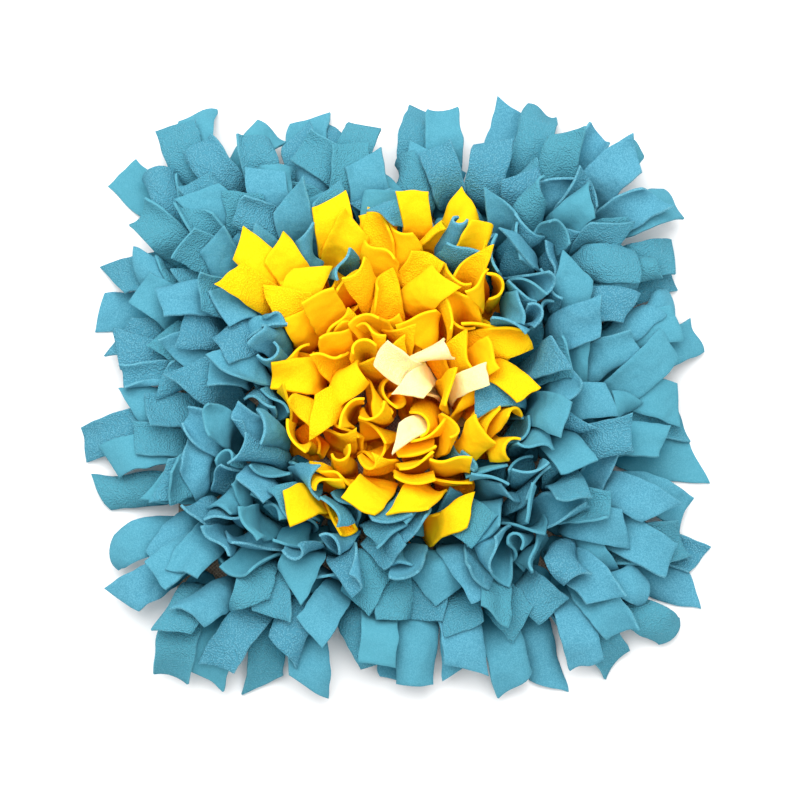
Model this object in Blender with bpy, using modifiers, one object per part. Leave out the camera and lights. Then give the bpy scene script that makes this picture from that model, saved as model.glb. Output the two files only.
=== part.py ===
"""Snuffle mat: fleece strips knotted through a square canvas base mat.

Each strip passes under one tie of the base and leaves two free ends, the locks, which fan outwards,
overlap like shingles and come to rest on the floor all round. Teal strips surround a yellow middle with
three cream strips in it. Every group of locks grows out of one backing pad, where its knots lie.

Metres, +Z up. The base mat's underside is the plane z = 0 and its centre is the origin. +Y is the back.
"""

import math

import bmesh
import bpy
import numpy as np
from mathutils.bvhtree import BVHTree

MM = 0.001

# Base mat and the grid of ties
BASE_SIDE = 270 * MM
BASE_THICK = 3 * MM
BASE_CORNER = 12 * MM
BASE_EDGE = 0.8 * MM
TIES = 12  # along each side
PITCH = 22 * MM
GAP = 0.3 * MM  # between pieces

# Backing pads, where the knots are
PAD_LOW = BASE_THICK + GAP
PAD_THICK = 2.5 * MM
PAD_TOP = PAD_LOW + PAD_THICK

# Fleece strips
THICK = 1.7 * MM
WIDTH = 25 * MM
KNOT_WIDTH = 11 * MM  # where the strip is gathered in its knot
FLARE = 0.42  # share of a lock's length over which it opens to its full width
ROOT_OFFSET = 4.2 * MM  # from the middle of the tie to the middle of each lock's root
ROOT_DEPTH = 1.5 * MM  # of the root inside the pad
LOCK_SHORT, LOCK_LONG = 62 * MM, 82 * MM
STUB_LENGTH, STUB_WIDTH = 46 * MM, 15 * MM  # the upright space kept for every lock

# Colour fields
YELLOW_CENTRE = (0, 3 * MM)
YELLOW_RADIUS = 76 * MM
CREAM_TIES = {(11, 33), (11, 11), (11, -11)}  # middles of the ties, mm
CREAM_ORDER = -0.5  # cream locks are laid before the yellow round them, so that they lie on top
ROW_SPLIT = 66 * MM  # the front and back teal rows lie beyond this

# Shape of a lock: stations along it and samples across it
STEPS = 30
STATIONS = (0, 6, 13, 21, 30)
ACROSS = 9

# Search for a clear place
SEED = 5
DRAWS = 960
BATCH = 96
CELL = 1.0 * MM
CLEAR = 1.9 * MM
ROOM_LOW = np.array((-260, -260, -10)) * MM
ROOM_CELLS = np.array((520, 520, 110))
FLOOR = THICK / 2 + GAP  # middle of a lock that lies on the floor

# Outward locks of the outermost ties, a row for each tie, each side from its first corner clockwise.
# swing: degrees anticlockwise from straight out; length: mm; lift: degrees by which it lies over others.
RIM = {
    "back": (  # from left to right
        (7, 80, 0), (5, 72, 0), (2, 66, 4), (9, 74, 0), (5, 68, 6), (14, 76, 0),
        (3, 79, 0), (6, 72, 4), (-9, 80, 0), (-4, 86, 0), (-33, 62, 22),
    ),
    "right": (  # from back to front
        (58, 68, 6), (19, 78, 0), (10, 64, 10), (14, 68, 4), (19, 76, 0), (12, 84, 0),
        (-2, 66, 8), (-17, 76, 0), (-6, 68, 6), (-18, 76, 0), (-43, 76, 0),
    ),
    "front": (  # from right to left
        (45, 68, 0), (36, 76, 0), (19, 72, 0), (18, 75, 4), (10, 62, 10), (10, 62, 6),
        (10, 68, 0), (8, 64, 8), (5, 82, 0), (2, 77, 0), (-10, 76, 0),
    ),
    "left": (  # from front to back
        (80, 76, 0), (42, 72, 0), (26, 75, 0), (23, 79, 0), (24, 73, 4), (25, 86, 0),
        (0, 70, 6), (-2, 68, 8), (-10, 70, 4), (-6, 76, 0), (-40, 74, 0),
    ),
}

# Locks in the middle that lie a known way: middle of the tie in mm, which lock of the tie,
# heading in degrees anticlockwise from +X, rise of the root and of the tip, width in mm.
LAID = (
    # x, y, lock, heading, root_rise, tip_rise, width
    (-11, 77, 0, 127, 60, -10, 25),
    (11, 77, 0, 93, 58, -10, 20),
    (11, 77, 1, 63, 66, -5, 24),
    (-33, 55, 0, 84, 62, -5, 24),
    (33, 55, 0, 66, 58, -5, 25),
    (-55, 33, 0, 128, 56, -10, 25),
    (-55, 55, 0, 142, 60, -8, 24),
    (-33, -55, 0, 218, 62, -5, 24),
    (-33, -55, 1, 285, 62, -10, 22),
    (11, -55, 0, 270, 66, 0, 25),
    (11, 33, 0, 195, 84, 5, 24),
    (11, 33, 1, -42, 84, 15, 25),
    (11, 11, 0, 248, 80, 0, 20),
    (11, 11, 1, -14, 82, 25, 14),
    (11, -11, 0, 238, 74, 20, 22),
)

COLOURS = {
    "base_mat": (0.33, 0.28, 0.22, 1.0),
    "teal": (0.115, 0.42, 0.54, 1.0),
    "yellow": (1.0, 0.62, 0.01, 1.0),
    "cream": (1.0, 0.90, 0.62, 1.0),
}
FIELDS = ("teal_back", "teal_front", "teal_left", "teal_right", "yellow_centre", "cream_centre")


def smooth(t):
    """Ease from 0 to 1."""
    t = np.clip(t, 0, 1)
    return t * t * (3 - 2 * t)


def tie_middles():
    """Yields column, row and middle of each tie."""
    for i in range(TIES):
        for j in range(TIES):
            yield i, j, np.array((i - (TIES - 1) / 2, j - (TIES - 1) / 2)) * PITCH


def field_of(middle):
    """The group of strips that a tie belongs to."""
    if tuple(int(round(v / MM)) for v in middle) in CREAM_TIES:
        return "cream_centre"
    if np.linalg.norm(middle - YELLOW_CENTRE) < YELLOW_RADIUS:
        return "yellow_centre"
    if abs(middle[1]) > ROW_SPLIT:
        return "teal_back" if middle[1] > 0 else "teal_front"
    return "teal_right" if middle[0] > 0 else "teal_left"


def rim_row(i, j):
    """The RIM row and the straight-out heading of an outermost tie, or None further in."""
    last = TIES - 1
    if j == last and i < last:
        return RIM["back"][i], math.pi / 2
    if i == last and j > 0:
        return RIM["right"][last - j], 0.0
    if j == 0 and i > 0:
        return RIM["front"][last - i], -math.pi / 2
    if i == 0:
        return RIM["left"][j], math.pi
    return None


def make_locks(rng):
    """The two locks of each tie, from the outside in: root, field, heading and how they lie."""
    locks = []
    laid = {(row[0], row[1], row[2]): row[3:] for row in LAID}
    for i, j, middle in tie_middles():
        key = tuple(int(round(v / MM)) for v in middle)
        from_centre = middle - YELLOW_CENTRE
        axis = math.atan2(from_centre[1], from_centre[0]) + rng.normal(0, 0.35)
        for k, side in enumerate((1, -1)):
            root = middle + side * ROOT_OFFSET * np.array((math.cos(axis), math.sin(axis)))
            out = root - np.array(YELLOW_CENTRE) * 0.5
            far = 0.65 * max(abs(out)) / (BASE_SIDE / 2)
            far += 0.35 * min(1.1, np.linalg.norm(out) / (BASE_SIDE / 2))
            inner = max(0.0, 1 - far)
            lock = dict(root=root, field=field_of(middle), far=far, upright=axis + (0 if side > 0 else math.pi))
            lock["heading"] = math.atan2(out[1], out[0]) + rng.normal(0, math.radians(10 + 60 * inner**1.2))
            lock["length"] = rng.uniform(LOCK_SHORT, LOCK_LONG)
            lock["rises"] = np.radians((44 + 44 * inner**0.7, -62 + 95 * inner**0.75))
            lock["width"] = None
            lock["order"] = -far + rng.normal(0, 0.02)
            if side > 0 and rim_row(i, j):
                (swing, length, lift), straight = rim_row(i, j)
                lock["heading"] = straight + math.radians(swing)
                lock["length"] = length * MM
                lock["rises"] = np.radians((42 + lift, -70 + 2 * lift))
                lock["order"] = -2 + (lift > 0)
            if (*key, k) in laid:
                heading, root_rise, tip_rise, width = laid[(*key, k)]
                lock["heading"] = math.radians(heading)
                lock["rises"] = np.radians((root_rise, tip_rise))
                lock["width"] = width * MM
                lock["order"] = -far - 0.04 if lock["field"] == "yellow_centre" else CREAM_ORDER
            locks.append(lock)
    locks.sort(key=lambda lock: lock["order"])
    return locks


def drawn_shapes(lock, rng):
    """Many ways in which a lock could lie, spread about its own way, the nearest to it first."""
    n = DRAWS
    spread = np.linspace(0.1, 1.0, n)
    narrow = 0.06 + 0.4 * math.sqrt(max(0.0, 0.75 - lock["far"]))
    shapes = dict(
        x=np.full(n, lock["root"][0]),
        y=np.full(n, lock["root"][1]),
        heading=lock["heading"] + rng.normal(0, 1, n) * spread * (0.9 if lock["width"] is None else 0.35),
        turn=rng.normal(0, 0.25, n),
        root_rise=np.clip(lock["rises"][0] + rng.normal(0, 0.5, n) * spread, math.radians(42), math.radians(100)),
        tip_rise=np.clip(lock["rises"][1] + rng.normal(0, 1.0, n) * spread, math.radians(-85), math.radians(88)),
        bend=rng.uniform(0.5, 1.8, n),
        roll=rng.normal(0, 0.3, n) + spread * rng.normal(0, 0.4, n),
        twist=rng.normal(0, 0.4, n),
        length=lock["length"] * (1 - 0.25 * spread * rng.random(n)),
        width=(lock["width"] or WIDTH) * (1 - narrow * spread * rng.random(n)),
    )
    mean_rise = 0.45 * (shapes["root_rise"] - lock["rises"][0]) + 0.55 * (shapes["tip_rise"] - lock["rises"][1])
    off = 0.6 * abs(mean_rise) + 0.8 * np.maximum(0, mean_rise)
    off += 0.9 * abs(shapes["heading"] - lock["heading"]) + 0.25 * abs(shapes["roll"] + shapes["twist"])
    off += 2 * (1 - shapes["length"] / lock["length"]) + 0.35 * rng.random(n)
    order = np.argsort(off)
    return {name: values[order] for name, values in shapes.items()}


def stub_shape(lock, shorten):
    """The upright stub of a lock, which always has room."""
    one = np.ones(1)
    return dict(
        x=one * lock["root"][0], y=one * lock["root"][1], heading=one * lock["upright"], turn=0 * one,
        root_rise=one * math.pi / 2, tip_rise=one * math.pi / 2, bend=one, roll=0 * one, twist=0 * one,
        length=one * STUB_LENGTH * shorten, width=one * STUB_WIDTH * shorten,
    )


def ribbons(q):
    """Middle surfaces of locks, (n, STEPS + 1, ACROSS, 3), straight between the stations, and their lowest z.

    A lock leaves its root at root_rise, bends to tip_rise, swings by turn about the vertical, and never
    sinks into the pad or the floor. Across, it is straight, turned by roll and twist about its own length.
    """
    t = np.linspace(0, 1, STEPS + 1)
    mid = np.clip(((t[:-1] + t[1:]) / 2 - 0.07) / 0.93, 0, 1)
    step = q["length"] / STEPS
    rise = q["root_rise"][:, None] + (q["tip_rise"] - q["root_rise"])[:, None] * mid ** q["bend"][:, None]
    heading = q["heading"][:, None] + q["turn"][:, None] * mid
    spine = np.zeros((len(step), STEPS + 1, 3))
    spine[:, 0, 0], spine[:, 0, 1], spine[:, 0, 2] = q["x"], q["y"], PAD_TOP - ROOT_DEPTH
    for i in range(STEPS):
        beyond = np.maximum(abs(spine[:, i, 0]), abs(spine[:, i, 1])) > BASE_SIDE / 2 - 1 * MM
        lowest = np.where(beyond, FLOOR, PAD_TOP + THICK / 2 + GAP if i > 4 else -1)
        dz = np.maximum(np.sin(rise[:, i]) * step, np.minimum(lowest - spine[:, i, 2], 0.6 * step))
        level = np.sqrt(np.maximum(0, step**2 - dz**2)) * np.sign(np.cos(rise[:, i]))
        spine[:, i + 1, 0] = spine[:, i, 0] + level * np.cos(heading[:, i])
        spine[:, i + 1, 1] = spine[:, i, 1] + level * np.sin(heading[:, i])
        spine[:, i + 1, 2] = spine[:, i, 2] + dz
    along = np.gradient(spine, axis=1)
    along /= np.linalg.norm(along, axis=2, keepdims=True)
    swing = q["heading"][:, None] + q["turn"][:, None] * t
    level = np.stack((-np.sin(swing), np.cos(swing), np.zeros_like(swing)), 2)
    up = np.cross(along, level)
    roll = q["roll"][:, None] + q["twist"][:, None] * smooth(t)
    across = np.cos(roll)[..., None] * level + np.sin(roll)[..., None] * up
    half = (KNOT_WIDTH + (q["width"][:, None] - KNOT_WIDTH) * smooth(t / FLARE)) / 2
    points = spine[:, :, None] + across[:, :, None] * (half[:, :, None] * np.linspace(-1, 1, ACROSS))[..., None]
    lowest = points[..., 2].min((1, 2))
    points[..., 2] = np.maximum(points[..., 2], FLOOR)
    for a, b in zip(STATIONS[:-1], STATIONS[1:]):
        for k in range(a + 1, b):
            share = (k - a) / (b - a)
            points[:, k] = points[:, a] * (1 - share) + points[:, b] * share
    return points, lowest


def slab(points, thick):
    """Corners and faces of the closed four-sided lock about a middle surface, for the test of its place."""
    g = points[list(STATIONS)][:, [0, -1]]
    normal = np.cross(np.gradient(g, axis=0), np.gradient(g, axis=1))
    normal /= np.linalg.norm(normal, axis=2, keepdims=True)
    upper, lower = g + normal * thick / 2, g - normal * thick / 2
    rings = np.stack((upper[:, 0], upper[:, 1], lower[:, 1], lower[:, 0]), 1).reshape(-1, 3)
    faces = [(0, 1, 2, 3)]
    for k in range(len(STATIONS) - 1):
        a, b = 4 * k, 4 * k + 4
        faces += [(a + c, b + c, b + (c + 1) % 4, a + (c + 1) % 4) for c in range(4)]
    faces.append(tuple(len(rings) - 4 + c for c in range(4)))
    return rings, faces


class Solid:
    """A placed solid: its search tree and its box."""

    def __init__(self, corners, faces):
        self.tree = BVHTree.FromPolygons([tuple(c) for c in corners], faces)
        self.low, self.high = corners.min(0), corners.max(0)

    def meets(self, other):
        """Whether the two surfaces cross."""
        apart = (self.low > other.high).any() or (other.low > self.high).any()
        return not apart and bool(self.tree.overlap(other.tree))


def block(low, high):
    """A plain block between two corners."""
    corners = np.array([(x, y, z) for x in (low[0], high[0]) for y in (low[1], high[1]) for z in (low[2], high[2])])
    faces = [(0, 1, 3, 2), (4, 6, 7, 5), (0, 4, 5, 1), (2, 3, 7, 6), (0, 2, 6, 4), (1, 5, 7, 3)]
    return Solid(corners, faces)


class Room:
    """The space over the mat, in small cells: what is taken, and what is kept for a lock still to come."""

    def __init__(self):
        self.taken = np.zeros(tuple(ROOM_CELLS), bool)
        self.kept = np.zeros(tuple(ROOM_CELLS), np.int16)
        reach = int(CLEAR / CELL) + 1
        grid = np.arange(-reach, reach + 1)
        ball = np.stack(np.meshgrid(grid, grid, grid, indexing="ij"), -1).reshape(-1, 3)
        self.ball = ball[np.linalg.norm(ball * CELL, axis=1) <= CLEAR]

    @staticmethod
    def cells(points):
        """Cell numbers of points."""
        return np.clip(((points - ROOM_LOW) / CELL).astype(np.int32), 4, ROOM_CELLS - 5)

    def around(self, points):
        """Cells within the clearance of a middle surface."""
        points = np.concatenate([
            part.reshape(-1, 3)
            for part in (points, (points[:-1] + points[1:]) / 2, (points[:, :-1] + points[:, 1:]) / 2)
        ])
        cells = np.unique(self.cells(points), axis=0)
        cells = (cells[:, None] + self.ball).reshape(-1, 3)
        return cells[:, 0], cells[:, 1], cells[:, 2]

    def blocked(self, points, number):
        """Share of each middle surface's samples that lie where another lock lies or will lie."""
        cells = self.cells(points)
        cells = (cells[..., 0], cells[..., 1], cells[..., 2])
        kept = self.kept[cells]
        return (self.taken[cells] | ((kept > 0) & (kept != number))).mean((1, 2))


def fixed_solids():
    """The base mat and each field's pads, as blocks that other pieces' locks keep off."""
    half = BASE_SIDE / 2
    solids = {"base_mat": [block((-half, -half, 0), (half, half, BASE_THICK))]}
    for field in FIELDS:
        solids[field] = []
    for _, _, middle in tie_middles():
        low, high = middle - PITCH / 2, middle + PITCH / 2
        solids[field_of(middle)].append(block((*low, PAD_LOW), (*high, PAD_TOP)))
    return solids


def lay_locks():
    """Lays every lock, outermost first, in the nearest clear way to its own."""
    rng = np.random.default_rng(SEED)
    locks = make_locks(rng)
    room = Room()
    fixed = fixed_solids()
    for n, lock in enumerate(locks):
        lock["number"] = n + 1
        lock["stub"] = room.around(ribbons(stub_shape(lock, 1))[0][0])
        room.kept[lock["stub"]] = n + 1
    placed = []

    def is_clear(points, field):
        solid = Solid(*slab(points, THICK + 2 * GAP))
        near = [s for name, some in fixed.items() if name != field for s in some]
        return not any(solid.meets(other) for other in near + placed)

    for n, lock in enumerate(locks):
        shapes = drawn_shapes(lock, rng)
        found = None
        for first in range(0, DRAWS, BATCH):
            points, lowest = ribbons({name: v[first : first + BATCH] for name, v in shapes.items()})
            free = (room.blocked(points, lock["number"]) == 0) & (lowest > -3 * MM)
            found = next((points[k] for k in np.nonzero(free)[0] if is_clear(points[k], lock["field"])), None)
            if found is not None:
                break
        for shorten in (1.0, 0.9, 0.8, 0.7, 0.6, 0.5):
            if found is None:
                points = ribbons(stub_shape(lock, shorten))[0][0]
                found = points if is_clear(points, lock["field"]) else None
        if found is None:
            raise ValueError(f"no clear place for lock {lock['number']}")
        lock["points"] = found
        room.kept[lock["stub"]] = 0
        for other in locks[n + 1 :]:
            if np.linalg.norm(other["root"] - lock["root"]) < 30 * MM:
                room.kept[other["stub"]] = other["number"]
        room.taken[room.around(found)] = True
        placed.append(Solid(*slab(found, THICK)))
    return locks


def new_material(name, colour, roughness):
    """A Principled BSDF material."""
    material = bpy.data.materials.new(name)
    material.use_nodes = True
    shader = material.node_tree.nodes["Principled BSDF"]
    shader.inputs["Base Color"].default_value = colour
    shader.inputs["Roughness"].default_value = roughness
    shader.inputs["Metallic"].default_value = 0.0
    material.diffuse_color = colour
    return material


def new_object(name, bm, collection, material=None):
    """An object from a bmesh, which is freed."""
    mesh = bpy.data.meshes.new(name)
    bm.to_mesh(mesh)
    bm.free()
    if material:
        mesh.materials.append(material)
    obj = bpy.data.objects.new(name, mesh)
    collection.objects.link(obj)
    return obj


def solidify(obj, thick, offset):
    """Gives an open surface its thickness."""
    modifier = obj.modifiers.new("thickness", "SOLIDIFY")
    modifier.thickness = thick
    modifier.offset = offset


def make_base(collection):
    """The base mat: a sheet with rounded corners and softened edges."""
    bpy.ops.mesh.primitive_cube_add(size=1, location=(0, 0, BASE_THICK / 2))
    obj = bpy.context.object
    obj.name = obj.data.name = "base_mat"
    obj.scale = (BASE_SIDE, BASE_SIDE, BASE_THICK)
    bpy.ops.object.transform_apply(location=True, rotation=False, scale=True)
    for other in list(obj.users_collection):
        other.objects.unlink(obj)
    collection.objects.link(obj)
    bm = bmesh.new()
    bm.from_mesh(obj.data)
    upright = [e for e in bm.edges if abs(e.verts[0].co.z - e.verts[1].co.z) > BASE_THICK / 2]
    bmesh.ops.bevel(bm, geom=upright, offset=BASE_CORNER, segments=6, affect="EDGES", profile=0.5)
    bm.to_mesh(obj.data)
    bm.free()
    bevel = obj.modifiers.new("soft_edges", "BEVEL")
    bevel.width = BASE_EDGE
    bevel.segments = 2
    bevel.limit_method = "ANGLE"
    bevel.angle_limit = math.radians(60)
    obj.data.materials.append(new_material("base_mat", COLOURS["base_mat"], 0.9))


def make_lock_group(field, locks, guides):
    """All the locks of one field as closed ribbons in one guide mesh."""
    bm = bmesh.new()
    for lock in locks:
        made = bmesh.ops.create_grid(bm, x_segments=1, y_segments=len(STATIONS) - 1, size=1)["verts"]
        made.sort(key=lambda v: (round(v.co.y, 4), v.co.x))
        corners = lock["points"][list(STATIONS)][:, [0, -1]].reshape(-1, 3)
        for vert, corner in zip(made, corners):
            vert.co = corner
    ribbon = new_object(field + "_ribbons", bm, guides)
    solidify(ribbon, THICK, 0)
    bpy.context.view_layer.update()
    mesh = bpy.data.meshes.new_from_object(ribbon.evaluated_get(bpy.context.evaluated_depsgraph_get()))
    bpy.data.objects.remove(ribbon)
    group = bpy.data.objects.new(field + "_locks", mesh)
    guides.objects.link(group)
    group.hide_render = True
    group.hide_viewport = False
    group.display_type = "WIRE"
    return group


def make_pad(field, collection, material):
    """The backing pad under one field: its ties' squares, drawn in by half the gap."""
    bm = bmesh.new()
    bmesh.ops.create_grid(bm, x_segments=TIES, y_segments=TIES, size=TIES * PITCH / 2)
    outside = [f for f in bm.faces if field_of(np.array(f.calc_center_median()[:2])) != field]
    bmesh.ops.delete(bm, geom=outside, context="FACES")
    rim = bmesh.ops.inset_region(bm, faces=list(bm.faces), thickness=GAP / 2, use_boundary=True)["faces"]
    bmesh.ops.delete(bm, geom=rim, context="FACES")
    for vert in bm.verts:
        vert.co.z = PAD_LOW
    pad = new_object(field, bm, collection, material)
    solidify(pad, PAD_THICK, 1)
    return pad


def main():
    """Builds the mat."""
    for obj in list(bpy.data.objects):
        bpy.data.objects.remove(obj)
    parts = bpy.data.collections.new("snuffle_mat")
    guides = bpy.data.collections.new("guides")
    for collection in (parts, guides):
        bpy.context.scene.collection.children.link(collection)
    make_base(parts)
    locks = lay_locks()
    materials = {name: new_material(name, COLOURS[name], 0.95) for name in ("teal", "yellow", "cream")}
    for field in FIELDS:
        pad = make_pad(field, parts, materials[field.split("_")[0]])
        group = make_lock_group(field, [lock for lock in locks if lock["field"] == field], guides)
        join = pad.modifiers.new("locks", "BOOLEAN")
        join.operation = "UNION"
        join.solver = "EXACT"
        join.object = group


if __name__ == "__main__":
    main()
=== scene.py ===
"""Looks of the snuffle mat: soft fleece strips, their knots and the canvas base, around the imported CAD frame.

The lie of every strip is read from the CAD solids. Each one is then widened to its cut width, given the
curl of fleece, and settled against its neighbours, the base and the floor.
"""

import logging
import math
from dataclasses import dataclass, field, fields
from enum import Enum, IntEnum
from typing import Iterator

import bpy
import numpy as np
from mathutils.bvhtree import BVHTree
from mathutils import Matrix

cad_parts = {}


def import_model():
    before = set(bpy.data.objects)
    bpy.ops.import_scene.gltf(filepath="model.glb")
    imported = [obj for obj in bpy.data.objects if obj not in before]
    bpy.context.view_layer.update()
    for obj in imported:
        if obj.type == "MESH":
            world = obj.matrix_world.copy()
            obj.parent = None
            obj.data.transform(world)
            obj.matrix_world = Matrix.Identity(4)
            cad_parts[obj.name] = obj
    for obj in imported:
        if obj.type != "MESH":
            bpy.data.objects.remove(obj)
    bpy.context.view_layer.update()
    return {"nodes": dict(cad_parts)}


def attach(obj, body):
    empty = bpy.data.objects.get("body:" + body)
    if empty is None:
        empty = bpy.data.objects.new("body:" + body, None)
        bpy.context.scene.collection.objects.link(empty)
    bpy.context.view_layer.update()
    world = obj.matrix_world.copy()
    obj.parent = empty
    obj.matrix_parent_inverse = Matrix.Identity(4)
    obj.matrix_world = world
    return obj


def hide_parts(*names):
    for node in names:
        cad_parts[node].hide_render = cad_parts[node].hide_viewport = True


LOG = logging.getLogger("snuffle_mat")
MM = 0.001
Array = np.ndarray
Generator = np.random.Generator
Inputs = dict[str | int, object]
Colour = tuple[float, float, float]


class Fleece(Enum):
    """The three dyes of fleece on the mat."""

    TEAL = "teal"
    YELLOW = "yellow"
    CREAM = "cream"


class Curl(IntEnum):
    """How a strip bends across."""

    OPEN = 0
    TROUGH = 1
    ROLL = 2
    WAVE = 3


@dataclass(frozen=True)
class MatSizes:
    """Sizes that the strips share with the solids."""

    pad_low: float = 3.3 * MM
    pad_top: float = 5.8 * MM
    base_side: float = 270 * MM
    base_top: float = 3 * MM
    pitch: float = 22 * MM
    strip_width: float = 25 * MM
    strip_cut: float = 165 * MM
    thick: float = 1.6 * MM


SIZES = MatSizes()


def faces_of(index: Array) -> Array:
    """The four-sided faces of grids of point numbers (grid, row, column)."""
    return np.stack((index[:, :-1, :-1], index[:, :-1, 1:], index[:, 1:, 1:], index[:, 1:, :-1]), -1)


@dataclass
class Lock:
    """One free end of a strip, as the solids lay it.

    The left and right edges are rows of points from the root to the tip. A lock may be held where it lies,
    and one that isn't sure is left out where it would cut through others.
    """

    node: str
    left: Array
    right: Array
    width: float = SIZES.strip_width
    held: float = 0.0
    sure: bool = True

    @property
    def middle(self) -> Array:
        """Points along the middle of the lock."""
        return (self.left + self.right) / 2

    @property
    def root(self) -> Array:
        """Where the lock leaves its knot."""
        return self.middle[0]

    @property
    def length(self) -> float:
        """Length along the middle."""
        return float(np.linalg.norm(np.diff(self.middle, axis=0), axis=1).sum())

    def resampled(self, t: Array) -> tuple[Array, Array]:
        """The left and right edges at even shares of the length.

        Args:
            t: Shares of the length, from 0 to 1.

        Returns:
            Points of the left and of the right edge.
        """
        steps = np.linalg.norm(np.diff(self.middle, axis=0), axis=1)
        at = np.concatenate(([0], np.cumsum(steps))) / steps.sum()
        left, right = (
            np.stack([np.interp(t, at, edge[:, a]) for a in range(3)], 1) for edge in (self.left, self.right)
        )
        return left, right


class LockReader:
    """Finds the locks in a CAD node's mesh."""

    near: float = 30e-6
    edge: float = 2 * MM

    def read(self, node: str, solid: bpy.types.Object) -> list[Lock]:
        """Reads every lock of one node.

        Args:
            node: Name of the CAD node.
            solid: Its object.

        Returns:
            The locks, ordered by the place of their roots.
        """
        points, triangles = self._merged(solid)
        heights = (SIZES.pad_top, SIZES.pad_low)
        level = np.any([abs(points[:, 2] - height) < self.near for height in heights], axis=0)
        locks = []
        for group in self._groups(triangles[~level[triangles].all(1)]):
            rings = self._rings(points, level, group)
            if len(rings) > 2:
                locks.append(self._lock(node, rings))
        locks.sort(key=lambda lock: (round(float(lock.root[0]), 4), round(float(lock.root[1]), 4)))
        return locks

    @staticmethod
    def _merged(solid: bpy.types.Object) -> tuple[Array, Array]:
        """Points and triangles of a mesh, its coincident points merged.

        Args:
            solid: The CAD node's object.

        Returns:
            The points, and each triangle's three point numbers.
        """
        mesh = solid.data
        mesh.calc_loop_triangles()
        points = np.zeros(len(mesh.vertices) * 3, np.float32)
        mesh.vertices.foreach_get("co", points)
        triangles = np.zeros(len(mesh.loop_triangles) * 3, np.int32)
        mesh.loop_triangles.foreach_get("vertices", triangles)
        microns = np.round(points.reshape(-1, 3) * 1e6).astype(np.int64)
        keys, where = np.unique(microns, axis=0, return_inverse=True)
        return keys * 1e-6, where.reshape(-1)[triangles].reshape(-1, 3)

    @staticmethod
    def _groups(triangles: Array) -> Iterator[Array]:
        """Splits triangles into groups that share no point.

        Args:
            triangles: Point numbers of each triangle.

        Yields:
            The triangles of one group.
        """
        parent: dict[int, int] = {}

        def top(a: int) -> int:
            """The point that stands for a point's group.

            Args:
                a: The point's number.

            Returns:
                The number of the point that stands for the group.
            """
            while parent.setdefault(a, a) != a:
                parent[a] = parent[parent[a]]
                a = parent[a]
            return a

        rows = triangles.tolist()
        for a, b, c in rows:
            parent[top(a)] = top(b)
            parent[top(b)] = top(c)
        groups: dict[int, list[list[int]]] = {}
        for row in rows:
            groups.setdefault(top(row[0]), []).append(row)
        for group in groups.values():
            yield np.array(group)

    @staticmethod
    def _rings(points: Array, level: Array, group: Array) -> list[Array]:
        """Rings of points around a lock, from its root outwards.

        Args:
            points: All the points.
            level: Which of them lie on the pad's top or bottom.
            group: The triangles of one lock.

        Returns:
            The rings' points.
        """
        beside: dict[int, set[int]] = {}
        for a, b, c in group.tolist():
            beside.setdefault(a, set()).update((b, c))
            beside.setdefault(b, set()).update((a, c))
            beside.setdefault(c, set()).update((a, b))
        ring = {v for v in beside if level[v]}
        rings, seen = [], set(ring)
        while ring:
            rings.append(points[sorted(ring)])
            ring = set().union(*(beside[v] for v in ring)) - seen
            seen |= ring
        return rings

    def _lock(self, node: str, rings: list[Array]) -> Lock:
        """Turns rings of points into the two edges of a lock.

        Args:
            node: Name of the CAD node.
            rings: The rings, from the root outwards.

        Returns:
            The lock.
        """
        tip = rings[-1]
        across = tip[np.argmax(np.linalg.norm(tip - tip[0], axis=1))] - tip[0]
        left, right = [], []
        for ring in reversed(rings):
            middle = ring.mean(0)
            spread = ring - middle
            far = spread[np.argmax(np.linalg.norm(spread, axis=1))]
            across = far if far @ across > 0 else -far
            side = spread @ across / np.linalg.norm(across)
            left.append(ring[side < side.min() + self.edge].mean(0))
            right.append(ring[side > side.max() - self.edge].mean(0))
            across = right[-1] - left[-1]
        return Lock(node, np.array(left[::-1]), np.array(right[::-1]))


@dataclass
class Strips:
    """What the settling knows of the locks, an entry of each array for each lock."""

    grid: Array
    width: Array
    length: Array
    full_width: Array
    full_length: Array
    across_bend: Array
    along_bend: Array
    home: Array
    hold: Array
    age: Array

    def joined(self, other: "Strips") -> "Strips":
        """These locks with some more after them."""
        names = [f.name for f in fields(self)]
        return Strips(*(np.concatenate((getattr(self, name), getattr(other, name))) for name in names))

    def only(self, keep: Array) -> "Strips":
        """Some of these locks."""
        return Strips(*(getattr(self, f.name)[keep] for f in fields(self)))


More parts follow.
